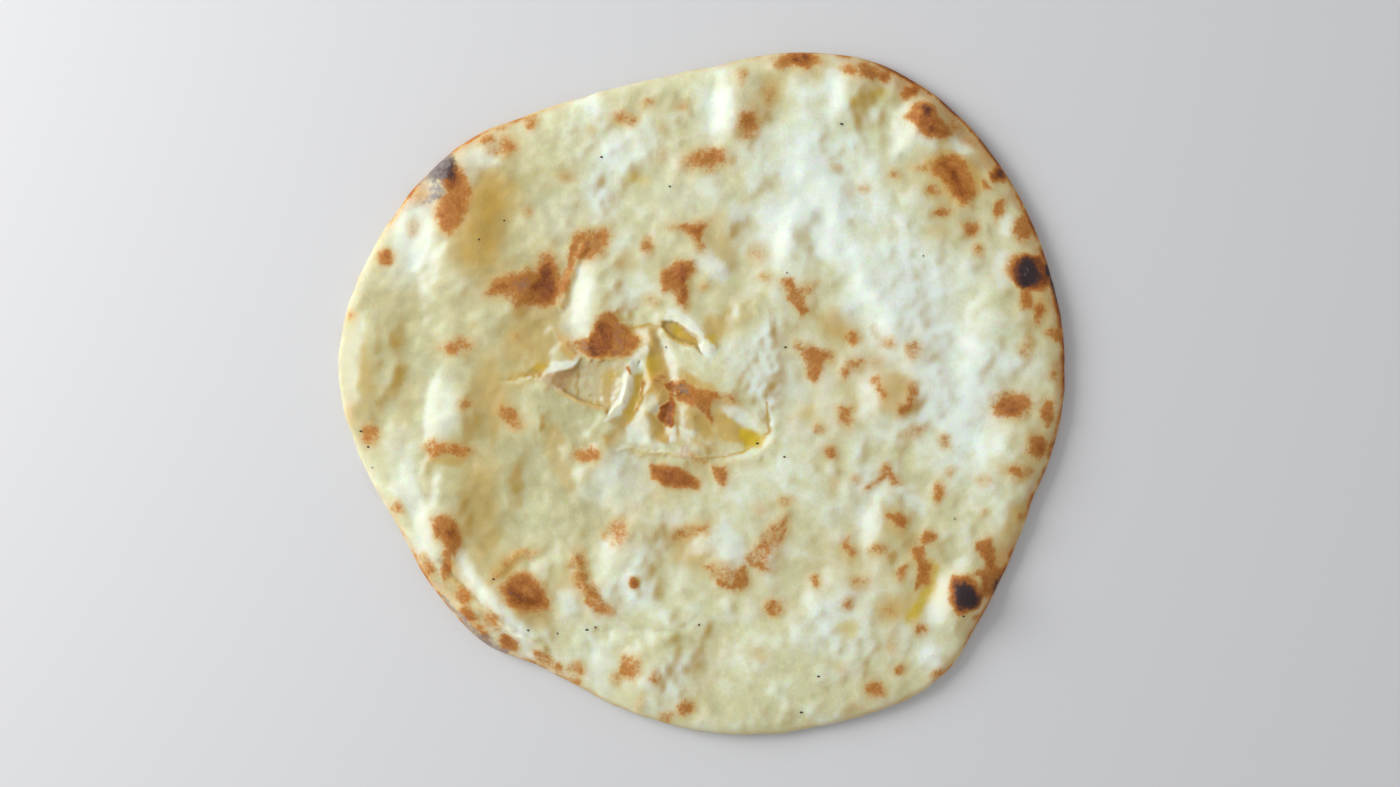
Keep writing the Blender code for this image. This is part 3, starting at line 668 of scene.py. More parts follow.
        (1.1, 1.4, [(15.6, -15.4), (19, -16.8), (25.6, -19), (24, -22), (17, -23), (15.6, -19)]),
        (0.35, 1.6, [(6.4, -8.8), (10, -9.6), (16.4, -14.6), (11, -13)]),
        (0.7, 1.2, [(-11.6, 27), (-9, 27), (-8.8, 23), (-11.4, 23.4)]),
        (0.8, 1.2, [(2, 22.6), (4.4, 23.4), (5, 19.8), (3.4, 19.4)]),
        # the skin around it
        (1.05, 1.8, [(93, -70), (96, -71), (95.6, -78), (93, -86), (88, -93), (84, -95), (85, -90),
            (90, -83), (92, -76)]),
        (0.5, 2.4, [(39, -9), (45, -6), (46, -8), (41, -11)]),
    ],
    "pale": [
        # the torn middle: painted highlights on the lips and facets that face the light
        (0.9, 1.2, [(-52, 32), (-47, 32), (-46, 26), (-47.5, 22.5), (-51, 22.5), (-53, 27)]),
        (1.0, 0.7, [(-65, 7.6), (-62.4, 11.8), (-58, 12.2), (-53.8, 12), (-51.8, 14.2), (-51.9, 10.6),
            (-54, 9.8), (-59.6, 9.4), (-62.4, 8.4)]),
        (0.8, 0.8, [(-32.4, 8), (-30, 9), (-28.6, 5.4), (-29.8, -1), (-31.6, -4.8), (-34, -8.6),
            (-40, -11.6), (-37.6, -7.8), (-33.6, -4.4), (-33, -1), (-32.4, 3)]),
        (0.9, 0.5, [(-30.2, 10), (-29.6, 14.4), (-26, 17), (-23.4, 18.2), (-22.6, 16.4), (-24.4, 9.4),
            (-26, 7.6), (-29, 7)]),
        (0.8, 1.2, [(-31, -15), (-28, -11), (-25.4, -8.8), (-23.6, -11), (-22.4, -15), (-22, -20),
            (-26, -22), (-31.6, -20.6)]),
        (0.7, 0.8, [(-24, -6.4), (-21.4, -2), (-19.4, -2.6), (-18.4, -6), (-20, -8.2), (-24, -8)]),
        (0.7, 2.0, [(-17.6, 22.4), (-14.6, 21), (-10.6, 14), (-10.6, 6), (-13, 8), (-13.8, 13),
            (-16.4, 18.6)]),
        (1.0, 0.6, [(-13.6, -15), (-12.2, -14), (-11.4, -19), (-13.4, -20)]),
        (0.8, 1.0, [(-9.4, -14.4), (-7, -15.8), (-3.6, -17), (-4, -19), (-6, -20.6), (-8.6, -18)]),
        (1.0, 1.2, [(8.2, -7.4), (13, -6.4), (18, -9), (22, -13), (23.2, -17), (19, -15.4), (12, -10.6)]),
        (1.3, 0.6, [(-15.4, 30.4), (-14.6, 33), (-9.4, 32.6), (-5, 29), (-1, 24.2), (1.2, 21.4),
            (3.4, 19.4), (0.4, 20.8), (-3.6, 24.2), (-7, 27), (-11, 29.2), (-14.6, 30)]),
        (1.2, 0.7, [(0, 20.2), (-0.6, 17.6), (1, 15), (3.6, 13.6), (4.8, 15), (4.2, 18), (1.6, 20.6)]),
        # the skin around it: painted highlights on the slopes that face the light
        (1.0, 1.2, [(8, -52), (16, -60), (17, -65), (11, -69), (8, -68), (7.5, -60)]),
        (0.6, 1.0, [(-2, -62), (6, -59), (6, -65), (-2, -66)]),
        (1.2, 2.4, [(-102.6, -64), (-99.6, -66), (-94, -76), (-86, -84), (-78, -92), (-71, -97.6),
            (-74, -99), (-84, -91.6), (-92, -83), (-99, -73)]),
        (1.1, 1.3, [(32, 91), (35.6, 92), (38, 87), (41, 82), (43, 78), (39, 78), (35.6, 82), (33, 86)]),
        (1.1, 1.6, [(44, 98), (48, 98), (50, 93), (54, 85), (59, 77), (59.5, 69), (54, 72), (50, 79),
            (45, 86)]),
        (1.2, 1.2, [(24, 70), (28, 73), (31, 69), (35.6, 65), (37.5, 61), (34.7, 58), (30, 63),
            (26, 66)]),
        (1.1, 1.6, [(45, 67), (49, 67.5), (52.5, 64), (59, 62), (60, 54), (54, 53), (49, 55), (46, 60)]),
        (0.8, 1.6, [(-3, 86), (2, 88), (6.6, 84), (5.6, 80), (0, 80.6), (-3, 82.5)]),
        (0.8, 1.4, [(10, 76), (13, 78), (17, 74), (17, 70), (13, 70), (11, 72)]),
        (0.9, 1.4, [(-4, 56), (1, 59), (7.5, 52.5), (11, 49), (9, 45), (4, 47), (-2, 51.6)]),
        (0.8, 1.6, [(78, 115), (82, 116), (85, 111), (91, 105.6), (96, 103), (95, 99), (88.6, 102),
            (82, 107)]),
        (1.1, 1.4, [(51.5, 132), (56.6, 132), (57, 124), (58, 116), (53, 116), (51.5, 124)]),
        (0.9, 1.6, [(60.4, 52), (67, 51), (72, 38), (69, 33), (63, 40)]),
        (0.9, 1.4, [(101, 101), (104, 104), (111, 98), (108, 96.6)]),
        (0.9, 1.4, [(122, 66), (123, 73.7), (128, 70), (126, 64)]),
        (1.0, 1.6, [(122, 58), (127, 57), (125, 50), (125, 43), (122, 42), (119, 50)]),
        (1.2, 2.0, [(-125, 71), (-120, 75), (-113, 75), (-111, 67), (-112, 59), (-117, 50), (-123, 49),
            (-127, 61)]),
        (0.9, 1.8, [(-99, 98), (-93, 100), (-85, 97), (-83, 94), (-89, 92), (-95, 94)]),
        (0.5, 1.4, [(-38.6, -24), (-33.4, -25), (-21, -30), (-20, -39.5), (-27, -44), (-35.5, -46),
            (-42, -47), (-51, -42), (-51, -39.5), (-42, -35.4), (-40.7, -28)]),
        (0.9, 1.8, [(-124, -30), (-119, -30), (-119, -37), (-114, -48), (-111.7, -60.5), (-108, -72),
            (-112, -70), (-118, -57), (-123, -45)]),
        (0.9, 1.4, [(-59, -82.5), (-54, -81), (-52, -88.7), (-56.7, -93.5)]),
        (0.8, 1.4, [(-46, -101), (-42.6, -103), (-41.4, -115), (-43.8, -121), (-46.3, -112)]),
        (1.3, 1.4, [(94, -77), (100, -76), (101, -87), (98.6, -94), (92.6, -94), (94, -84)]),
        (0.9, 1.4, [(80.6, -40), (88, -43), (92.6, -46), (91, -50.6), (85, -47)]),
        (1.0, 1.2, [(67, -49), (72, -46), (74.6, -50.6), (71, -58), (67, -60)]),
        (1.1, 1.8, [(1, 113), (6, 123), (12, 125), (13, 117), (9, 107), (4, 105)]),
        (0.8, 1.4, [(-49, 121), (-45, 122), (-42, 115), (-47, 115)]),
        (0.8, 1.6, [(-35, 105), (-29, 105), (-30, 99), (-35, 95)]),
    ],
    "blush": [
        # the torn middle
        (0.6, 2.0, [(-65.5, 6.4), (-59.6, 8.8), (-52.6, 9.6), (-52, 7), (-56, 5.5), (-58, 1),
            (-62, 2.4)]),
        (0.5, 1.2, [(-9.6, -11.6), (-6.4, -12.6), (-6, -15), (-9.4, -13.8)]),
        (0.5, 1.0, [(4, -3.4), (9.6, -5), (8, -6), (4.6, -4.8)]),
        (0.6, 1.4, [(-9, -22), (-5.4, -22), (-5.4, -26), (-8.8, -26)]),
        # the skin around it
        (0.5, 2.0, [(-120, 82), (-115, 86), (-111, 80), (-110, 75), (-118, 76)]),
        (1.0, 1.6, [(-124, 79), (-119, 85), (-113, 85.6), (-111, 80), (-115, 76.6), (-120, 75)]),
        (0.8, 1.6, [(-126, 76), (-118, 88), (-108, 97), (-98, 104), (-88, 110), (-88, 107), (-98, 101),
            (-107, 94), (-115, 86), (-123, 74)]),
    ],
}

# thin lines of each colour: strength, half width, points
strokes = {
    "toast": [
        (0.75, 2.4, [(-57, 42), (-55.5, 48), (-54.5, 54), (-53, 58), (-51.6, 63)]),
        (0.95, 1.8, [(-8, 47), (-7.6, 37)]),
        (0.8, 1.4, [(6, -77), (10, -79), (13.6, -81.4), (14, -78)]),
        (0.8, 1.2, [(98, 121), (104, 115), (109, 109), (116, 102), (121, 95)]),
        (0.7, 1.0, [(-107, 97.4), (-99, 102.6), (-91, 107)]),
        (0.45, 0.6, [(-71, 6.9), (-65, 6.4)]),
        (0.34, 0.8, [(-60, 0.6), (-52, -3.6), (-44, -6)]),
        (0.75, 0.8, [(-30.6, 9.9), (-30.2, 7.8)]),
        (0.8, 1.6, [(-13, 1), (-13, -4), (-14.6, -9), (-15.4, -13)]),
        (0.6, 1.0, [(-24.6, 4), (-25.8, -3), (-27.6, -7.6)]),
    ],
    "ash": [
        (0.8, 1.6, [(-107, -84), (-98, -94), (-90, -103), (-81, -106.4)]),
    ],
    # golden lines, most of them painted shade along the bottoms of the folds and the edges of the tears
    "gold": [
        (0.7, 2.0, [(70, 26), (75, 20), (79, 18)]),
        (1.2, 1.0, [(-80, 5.6), (-74, 6), (-70, 6.8), (-65.4, 6.4)]),
        (1.3, 1.1, [(-24.6, 4), (-26, -3), (-28.4, -8.6), (-31, -13)]),
        (1.3, 0.8, [(-19.4, 21.6), (-16, 16), (-14.4, 9), (-13.2, 3)]),
        (1.0, 0.8, [(26.2, -5), (27.2, -12), (27, -17), (24.6, -20)]),
        (0.8, 0.7, [(23.4, -21), (19, -23.6), (14.6, -25.6), (9, -26.6), (4, -27.4)]),
        (1.2, 0.6, [(-20, 26.6), (-16.4, 25.4), (-12.8, 21.6), (-7, 19.4), (-3, 18), (0.4, 15.4)]),
        (1.0, 0.9, [(-29, 26), (-22, 26.6), (-17, 26.2)]),
        (0.6, 1.6, [(13, 35), (10.6, 30.6), (8.6, 26.6)]),
        (0.7, 1.0, [(-8.6, -10.2), (-5, -12), (-3.6, -16)]),
        (0.4, 1.4, [(-34, -24), (-24, -25.6), (-12, -26.4), (-5, -27)]),
    ],
    "butter": [
        (0.7, 0.8, [(24.6, -19.4), (23.4, -21), (19, -23.4), (15, -25.2)]),
    ],
}

# how the colours fade out at their edges
fading = {
    "spotEdge": {"toast": 4.0, "char": 3.0, "ash": 3.0, "butter": 2.5, "gold": 9.0, "pale": 7.0},  # at most
    "smallEdge": (0.7, 0.35),  # least edge of a small spot, and its growth with the spot's width
    "spotGrow": 0.6,
    "patchGrow": 0.4,
    "patchEdge": 1.15,
    "outer": 1.2,  # where the edge begins and ends, as shares of its width
    "inner": 0.9,
    "trail": 0.24,  # faint colour just outside
    "reach": 3.0,  # how many edge widths out a spot is worked out
    "strokeFade": (1.3, 0.3),  # shares of a line's half width where it begins and is full
    "wander": 1.3,  # how far the edges wander
    "fineWander": 0.5,
    "broadWander": 4.0,  # the same on the golden dough and painted shade, and on the pale dough and painted highlights
    "patchWander": 0.8,  # shares of the wander on patches and tears
    "tearWander": 0.4,
}


def featherAt(inward, soft):
    # a mark's strength at a distance inside its line: a soft edge, then a faint trail outside
    trail = fading["trail"] * np.exp(np.minimum(inward, 0.0) / (fading["outer"] * soft))
    return np.maximum(smooth(-soft * fading["outer"], soft * fading["inner"], inward), trail)


def patchField(x, y, name):
    # strongest patch or line of one colour at each point
    total = np.zeros(len(x))
    for strength, soft, points in patches[name]:
        inward = insideDistance(x, y, points) + fading["patchGrow"]
        total = np.maximum(total, strength * featherAt(inward, soft * fading["patchEdge"]))
    for strength, halfWidth, points in strokes.get(name, []):
        away = lineDistance(x, y, points) / halfWidth
        total = np.maximum(total, strength * smooth(*fading["strokeFade"], away))
    return total


def spotField(x, y, name):
    # strongest round spot of one colour at each point
    total = np.zeros(len(x))
    for spotX, spotY, length, width, turn, strength in spots[name]:
        least, growth = fading["smallEdge"]
        edge = min(fading["spotEdge"][name], least + growth * min(length, width))
        near = np.hypot(x - spotX, y - spotY) < max(length, width) / 2 + edge * fading["reach"]
        halfLength = length / 2 + fading["spotGrow"]
        halfWidth = width / 2 + fading["spotGrow"]
        share = ovalShare(x[near], y[near], (spotX, spotY, halfLength, halfWidth, turn))
        inward = (1.0 - share) * min(halfLength, halfWidth)
        total[near] = np.maximum(total[near], strength * featherAt(inward, edge))
    return total


# broad zones of the dough, partly its own tone and partly painted light and painted shade: x, y, half
# length, half width, turn, how much paler (or duller, below zero)
lightAndToneZones = [
    (-118, 44, 10, 9, 0, -0.9), (-111, -36, 8, 11, 0, -1.0), (-57, 28, 6, 7, 0, -0.8),
    (-14, -104, 9, 7, 0, -0.9), (14, 34, 12, 10, 0, -0.9), (56, -92, 10, 16, 0, 0.9),
    (126, 18, 10, 12, 0, 0.7), (98, -4, 10, 12, 0, 0.7), (-42, 84, 10, 14, 0, 0.9),
    (-14, 78, 10, 10, 0, -0.6), (-14, -117, 12, 10, 0, 0.8), (-76, -104, 12, 8, -40, 0.8),
    (94, -111, 16, 8, -50, 0.9), (-14, -52, 9, 7, 0, 0.6), (28, -62, 9, 7, 0, 0.6),
    (-30, -80, 9, 9, 0, 0.7), (-42, -92, 9, 7, 0, 0.7), (28, 0, 8, 8, 0, 0.9),
    (-68, -112, 12, 6, -38, 0.9), (-28, 39, 8, 8, 0, 0.8), (-147, 16, 8, 50, 0, -1.0),
    (-56, -46, 18, 16, 0, -0.9), (60, 22, 12, 10, 0, -0.3), (110, -30, 20, 20, 0, -0.4),
    (60, 84, 34, 20, -66, 0.8), (82, 36, 42, 22, -60, 1.0), (106, -6, 34, 20, -68, 0.9),
    (112, -44, 18, 12, -80, 0.4), (28, 66, 16, 12, 60, 0.5), (22, 18, 18, 12, 70, 0.5),
    (24, -42, 22, 8, 0, 0.4), (-24, -68, 14, 20, 0, 0.6), (-66, -50, 16, 10, 0, 0.3),
    (-34, 104, 16, 12, 0, 0.3), (5, 112, 10, 16, 0, 0.3), (36, 100, 20, 16, 0, 0.3),
    (118, 30, 16, 22, 0, 0.15), (60, -88, 16, 8, 0, 0.3), (-96, 38, 16, 12, 0, 0.2),
    (-84, 76, 24, 26, 0, -0.8), (-120, 20, 16, 30, 0, -0.6), (-72, 22, 20, 20, 0, -0.8),
    (-92, -8, 14, 24, 0, -0.8), (-56, -8, 22, 24, 0, -0.8), (-88, -56, 16, 18, 0, -0.7),
    (-104, -34, 10, 14, 0, -0.6), (-40, 30, 18, 12, 0, -0.2), (14, 52, 14, 12, 0, -0.3),
    (40, -108, 50, 14, 0, 0.15), (-14, 10, 14, 14, 0, -0.3), (104, 98, 14, 14, 0, -0.2),
    (44, 20, 26, 16, 0, 0.5), (70, -30, 40, 20, 0, 0.25), (84, -72, 14, 18, 0, -0.3),
    (-70, 92, 16, 10, 0, -0.3),
]


def zoneField(x, y):
    total = np.zeros(len(x))
    for zoneX, zoneY, halfLength, halfWidth, turn, shift in lightAndToneZones:
        total += shift * np.exp(-ovalShare(x, y, (zoneX, zoneY, halfLength, halfWidth, turn)) ** 2)
    return np.clip(total, -1.0, 1.0)


class Dough:
    # everything known about the skin at a set of points in plan
    def __init__(self, x, y):
        self.x = x
        self.y = y
        self.shiftX = fading["wander"] * noiseAt(x, y, "wanderX")
        self.shiftX += fading["fineWander"] * noiseAt(x, y, "fineX")
        self.shiftY = fading["wander"] * noiseAt(x, y, "wanderY")
        self.shiftY += fading["fineWander"] * noiseAt(x, y, "fineY")
        broadX = x + fading["broadWander"] * noiseAt(x, y, "broadX")
        broadY = y + fading["broadWander"] * noiseAt(x, y, "broadY")
        patchX = x + fading["patchWander"] * self.shiftX
        patchY = y + fading["patchWander"] * self.shiftY
        self.tones = {"zone": zoneField(broadX, broadY)}
        for name in patches:
            self.tones[name] = patchField(patchX, patchY, name)
        for name in ("toast", "char", "ash", "butter"):
            self.strengthen(name, spotField(x + self.shiftX, y + self.shiftY, name))
        for name in ("gold", "pale"):
            self.strengthen(name, spotField(broadX, broadY, name))

    def strengthen(self, name, values):
        self.tones[name] = np.maximum(self.tones[name], values)

    def paintSlopeLight(self, normals, inward):
        # painted golden shade on the sides of every bump that face away from the window light, and a painted
        # highlight on the sides that face it; the roll of the rim counts for less
        wayX, wayY = skin["lightWay"]
        lean = normals[:, 0] * wayX + normals[:, 1] * wayY
        flank = skin["rimFlank"] + (1.0 - skin["rimFlank"]) * smooth(*skin["rimFade"], inward)
        self.strengthen("gold", skin["slopeShade"] * flank * smooth(*skin["shadeLean"], -lean))
        self.strengthen("pale", skin["slopeHighlight"] * flank * smooth(*skin["highlightLean"], lean))

    def height(self):
        x = self.x
        y = self.y
        calm = 1.0 - skin["calmShare"] * smooth(*skin["calmFade"], ovalShare(x, y, skin["calmPlace"]))
        lumps = noiseAt(x, y, "lumps") * calm
        dimples = noiseAt(x, y, "dimples") * calm
        # painted light on the tops of the lumps and painted shade in their dips
        self.tones["crest"] = np.clip(0.5 + skin["lumpShadingSwing"] * (lumps + dimples), 0.0, 1.0)
        total = bulkHeight(x, y) + skin["lumpHeight"] * lumps + skin["dimpleHeight"] * dimples
        total += skin["wrinkleHeight"] * noiseAt(x, y, "wrinkles")
        total += creaseHeight(x, y)
        total += foldHeight(x + self.shiftX, y + self.shiftY)
        total += skin["toastRise"] * self.tones["toast"]
        tearX = x + fading["tearWander"] * self.shiftX
        tearY = y + fading["tearWander"] * self.shiftY
        rough = skin["tornRough"] * noiseAt(x, y, "tornFloor")
        for tear in tears.values():
            opened = smooth(*skin["tornEdge"], insideDistance(tearX, tearY, tear["outline"]))
            total += np.minimum(0.0, tornFloor(x, y, tear) + rough - total) * opened
        return total


def squareToRound(x, y):
    u = x * np.sqrt(1.0 - 0.5 * y * y)
    v = y * np.sqrt(1.0 - 0.5 * x * x)
    return np.arctan2(v, u), np.minimum(1.0, np.hypot(u, v))


def quarterRound(inward, width):
    left = np.clip(1.0 - inward / width, 0.0, 1.0)
    return np.sqrt(1.0 - left * left)


def loafTopology():
    # a square top sheet, rim rows rolled under its border, and a coarser underside bridged on
    bm = bmesh.new()
    row = bm.verts.layers.int.new("row")
    bmesh.ops.create_grid(bm, x_segments=loaf["cells"], y_segments=loaf["cells"], size=1.0)
    reach = (cadHigh.x - cadLow.x) / 2 / mm
    (lowX, lowY), (highX, highY) = loaf["fineZone"]
    fine = {}  # edges to cut, in the order in which they are met
    for face in bm.faces:
        middle = face.calc_center_median() * reach
        if lowX < middle.x < highX and lowY < middle.y < highY:
            fine.update(dict.fromkeys(face.edges))
    bmesh.ops.subdivide_edges(bm, edges=list(fine), cuts=loaf["fineCuts"], use_grid_fill=True)
    border = [edge for edge in bm.edges if edge.is_boundary]
    for number in range(1, loaf["rimRows"] + 1):
        made = bmesh.ops.extrude_edge_only(bm, edges=border)["geom"]
        border = [item for item in made if isinstance(item, bmesh.types.BMEdge) and item.is_boundary]
        for item in made:
            if isinstance(item, bmesh.types.BMVert):
                item[row] = number
                item.co.z = -number
    topEdges = set(bm.edges)
    under = bmesh.ops.create_grid(bm, x_segments=loaf["underCells"], y_segments=loaf["underCells"], size=1.0)
    for point in under["verts"]:
        point[row] = loaf["rimRows"] + 1
        point.co.z = -loaf["rimRows"] - 1
    underBorder = [edge for edge in bm.edges if edge.is_boundary and edge not in topEdges]
    bmesh.ops.bridge_loops(bm, edges=border + underBorder)
    bmesh.ops.recalc_face_normals(bm, faces=bm.faces)
    mesh = bpy.data.meshes.new("naanLoaf")
    bm.to_mesh(mesh)
    bm.free()
    return mesh


def readValues(data, name, width, kind=np.float32):
    # one row of numbers for each item of a mesh collection
    values = np.empty(len(data) * width, kind)
    data.foreach_get(name, values)
    return values.reshape(-1, width).astype(float)


def setValues(mesh, name, values):
    layer = mesh.attributes.new(name, "FLOAT", "POINT")
    layer.data.foreach_set("value", values.astype(np.float32))


def fitToBox(values, low, high):
    # stretches values so that they end just inside the solid's box
    low = low / mm + loaf["clear"]
    high = high / mm - loaf["clear"]
    return (values - values.min()) * (high - low) / (values.max() - values.min()) + low


# how brown the outer edge is: direction from +X, depth, strength
edgeToast = [
    (0, 4.0, 1.0), (14, 4.5, 1.1), (22, 4.5, 1.0), (32, 5.5, 1.0), (46, 7.0, 1.05), (58, 7.0, 1.0),
    (68, 4.0, 0.7), (78, 3.0, 0.5), (92, 1.8, 0.15), (110, 1.5, 0.05), (120, 2.0, 0.4), (134, 4.5, 0.9),
    (148, 4.0, 0.8), (158, 1.5, 0.1), (176, 1.5, 0.0), (192, 1.5, 0.02), (204, 2.5, 0.3), (216, 4.0, 0.7),
    (230, 3.5, 0.6), (242, 2.5, 0.4), (252, 1.5, 0.4), (268, 1.5, 0.08), (290, 1.5, 0.08),
    (308, 2.0, 0.4), (320, 3.0, 0.75), (330, 5.0, 0.95), (340, 3.5, 0.8), (350, 3.6, 1.0),
]

rimBake = {
    "depthSwing": 0.7,
    "patchMiddle": 0.85,  # strength along the rim, and the limits that it varies between
    "patchLimits": (0.35, 1.15),
    "leastDepth": 0.3,
    "bandFade": (1.4, 0.4),  # shares of the depth where the band begins and is full
    "blush": 0.9,
    "toast": 0.38,  # inside the line
    "lineToast": 0.8,  # added on the outermost line
    "line": (2.4, 0.2),  # where that line starts and is full
    "underToast": 0.8,
}


def edgeTable(angle, column):
    table = np.array(edgeToast, float)
    at = np.append(table[:, 0], 360.0)
    value = np.append(table[:, column], table[0, column])
    return np.interp(np.degrees(angle) % 360.0, at, value)


def bakeRim(dough, x, y, angle, inward, rim):
    # the blushed band along the edge, its toasted line and the browned roll under it
    depth = edgeTable(angle, 1) * (1.0 + rimBake["depthSwing"] * noiseAt(x, y, "rimDepth"))
    patchy = np.clip(rimBake["patchMiddle"] + noiseAt(x, y, "rimPatches"), *rimBake["patchLimits"])
    strength = edgeTable(angle, 2) * patchy
    band = strength * smooth(*rimBake["bandFade"], inward / np.maximum(depth, rimBake["leastDepth"]))
    line = smooth(*rimBake["line"], inward)
    dough.strengthen("blush", rimBake["blush"] * band)
    dough.strengthen("toast", band * (rimBake["toast"] + rimBake["lineToast"] * line))
    dough.tones["toast"][rim] = strength[rim] * rimBake["underToast"]


def makeLoaf():
    mesh = loafTopology()
    flat = readValues(mesh.vertices, "co", 3)
    row = readValues(mesh.attributes["row"].data, "value", 1, np.int32)[:, 0]
    mesh.attributes.remove(mesh.attributes["row"])
    angle, share = squareToRound(flat[:, 0], flat[:, 1])
    reach = edgeDistance(angle)
    reach += loaf["outlineRough"] * noiseRound(angle, "outline") * smooth(*loaf["outlineFade"], share)
    onTop = row == 0
    under = row == loaf["rimRows"] + 1
    rim = ~onTop & ~under
    turn = row / (loaf["rimRows"] + 1.0) * math.pi / 2
    inward = (1.0 - share) * reach
    inward[rim] = loaf["underRound"] * (1.0 - np.cos(turn[rim]))
    inward[under] = loaf["underRound"] + (1.0 - share[under]) * (reach[under] - loaf["underRound"])
    x = (reach - inward) * np.cos(angle)
    y = (reach - inward) * np.sin(angle)
    dough = Dough(x, y)

    lift = 0.5 + sum(part * np.sin(waves * angle + phase) for waves, part, phase in loaf["edgeWaves"])
    edge = loaf["edgeHeight"] + loaf["edgeLift"] * lift + loaf["edgeRough"] * noiseRound(angle, "edge")
    z = edge + (dough.height() - edge) * quarterRound(inward, loaf["topRound"])
    z[rim] = edge[rim] * (1.0 - np.sin(turn[rim]))
    dents = loaf["underDents"] * np.clip(noiseAt(x, y, "underDents"), 0.0, 1.0)
    z[under] = (dents * smooth(*loaf["dentFade"], inward - loaf["underRound"]))[under]
    x = fitToBox(x, cadLow.x, cadHigh.x)
    y = fitToBox(y, cadLow.y, cadHigh.y)
    z = np.clip(z, cadLow.z / mm, cadHigh.z / mm - loaf["clear"])
    points = np.stack([x, y, z], axis=1) * mm
    mesh.vertices.foreach_set("co", points.astype(np.float32).ravel())
    mesh.update()

    # paint highlight and golden shade onto the slopes by how they face the window light
    dough.paintSlopeLight(readValues(mesh.vertex_normals, "vector", 3), inward)
    bakeRim(dough, x, y, angle, inward, rim)
    dough.tones["toast"][under] = 0.0
    underside = np.where(onTop, 0.0, 1.0)
    faded = 1.0 - skin["underFade"] * underside
    for name, values in dough.tones.items():
        setValues(mesh, name, values if name == "toast" else values * faded)
    setValues(mesh, "underside", underside)
    torn = np.zeros(len(x))
    for tear in tears.values():
        torn = np.maximum(torn, smooth(*skin["tornTone"], insideDistance(x, y, tear["outline"])))
    setValues(mesh, "torn", torn * onTop)
    mesh.shade_smooth()
    piece = bpy.data.objects.new("naanLoaf", mesh)
    bpy.context.scene.collection.objects.link(piece)
    return piece


class Wire:
    # wraps one socket, so that shader maths reads as plain arithmetic
    def __init__(self, tree, socket):
        self.tree = tree
        self.socket = socket

    def maths(self, operation, *others):
        node = self.tree.nodes.new("ShaderNodeMath")
        node.operation = operation
        for target, value in zip(node.inputs, (self,) + others):
            if isinstance(value, Wire):
                self.tree.links.new(value.socket, target)
            else:
                target.default_value = value
        return Wire(self.tree, node.outputs[0])

    def __add__(self, other):
        return self.maths("ADD", other)

    __radd__ = __add__

    def __mul__(self, other):
        return self.maths("MULTIPLY", other)

    __rmul__ = __mul__

    def __sub__(self, other):
        return self.maths("SUBTRACT", other)

    def __rsub__(self, other):
        return self.maths("MULTIPLY_ADD", -1.0, other)

    def atLeast(self, other):
        return self.maths("MAXIMUM", other)

    def atMost(self, other):
        return self.maths("MINIMUM", other)

    def clamped(self):
        return self.atLeast(0.0).atMost(1.0)


class Recipe:
    # one material: every node that isn't plain maths comes from add()
    def __init__(self, name):
        self.material = bpy.data.materials.new(name)
        self.material.use_nodes = True
        self.tree = self.material.node_tree
        self.shader = self.tree.nodes["Principled BSDF"]

    def add(self, kind, settings, sockets, output):
        node = self.tree.nodes.new(kind)
        for name, value in settings.items():
            if name == "stops":
                self.setStops(node, value)
            else:
                setattr(node, name, value)
        for name, value in sockets.items():
            self.feed(node.inputs[name], value)
        return Wire(self.tree, node.outputs[output])

    def setStops(self, node, stops):
        ramp = node.color_ramp
        while len(ramp.elements) < len(stops):
            ramp.elements.new(1.0)
        for element, (place, colour) in zip(ramp.elements, stops):
            element.position = place
            element.color = colour

    def feed(self, socket, value):
        if isinstance(value, Wire):
            self.tree.links.new(value.socket, socket)
        else:
            socket.default_value = value

    def feedShader(self, values):
        for name, value in values.items():
            self.feed(self.shader.inputs[name], value)

    def place(self):
        return self.add("ShaderNodeTexCoord", {}, {}, "Object")

    def value(self, name):
        return self.add("ShaderNodeAttribute", {"attribute_name": name}, {}, "Fac")

    def noise(self, place, size, detail, roughness):
        sockets = {"Vector": place, "Scale": 1.0 / (size * mm), "Detail": detail, "Roughness": roughness}
        return self.add("ShaderNodeTexNoise", {}, sockets, "Fac")

    def mix(self, factor, first, second):
        settings = {"data_type": "RGBA", "clamp_factor": True}
        return self.add("ShaderNodeMix", settings, {0: factor, 6: first, 7: second}, 2)

    def ramp(self, factor, stops):
        return self.add("ShaderNodeValToRGB", {"stops": stops}, {"Fac": factor}, "Color")

    def steps(self, value, low, high):
        settings = {"interpolation_type": "SMOOTHSTEP"}
        sockets = {"Value": value, "From Min": low, "From Max": high, "To Min": 0.0, "To Max": 1.0}
        return self.add("ShaderNodeMapRange", settings, sockets, "Result")


def tone(red, green, blue):
    # a display colour, 0 to 255, as the linear colour that a shader takes
    parts = [part / 255 for part in (red, green, blue)]
    return tuple(p / 12.92 if p <= 0.04045 else ((p + 0.055) / 1.055) ** 2.4 for p in parts) + (1.0,)


def swings(wires, shares):
    # sum of values that each swing about zero by their share
    parts = [(wire - 0.5) * share for wire, share in zip(wires, shares)]
    return sum(parts[1:], parts[0])


def broken(amount, grain, swing=0.8, base=0.6):
    # a colour's cover, broken up by a grain
    return (amount * (grain * swing + base)).clamped()


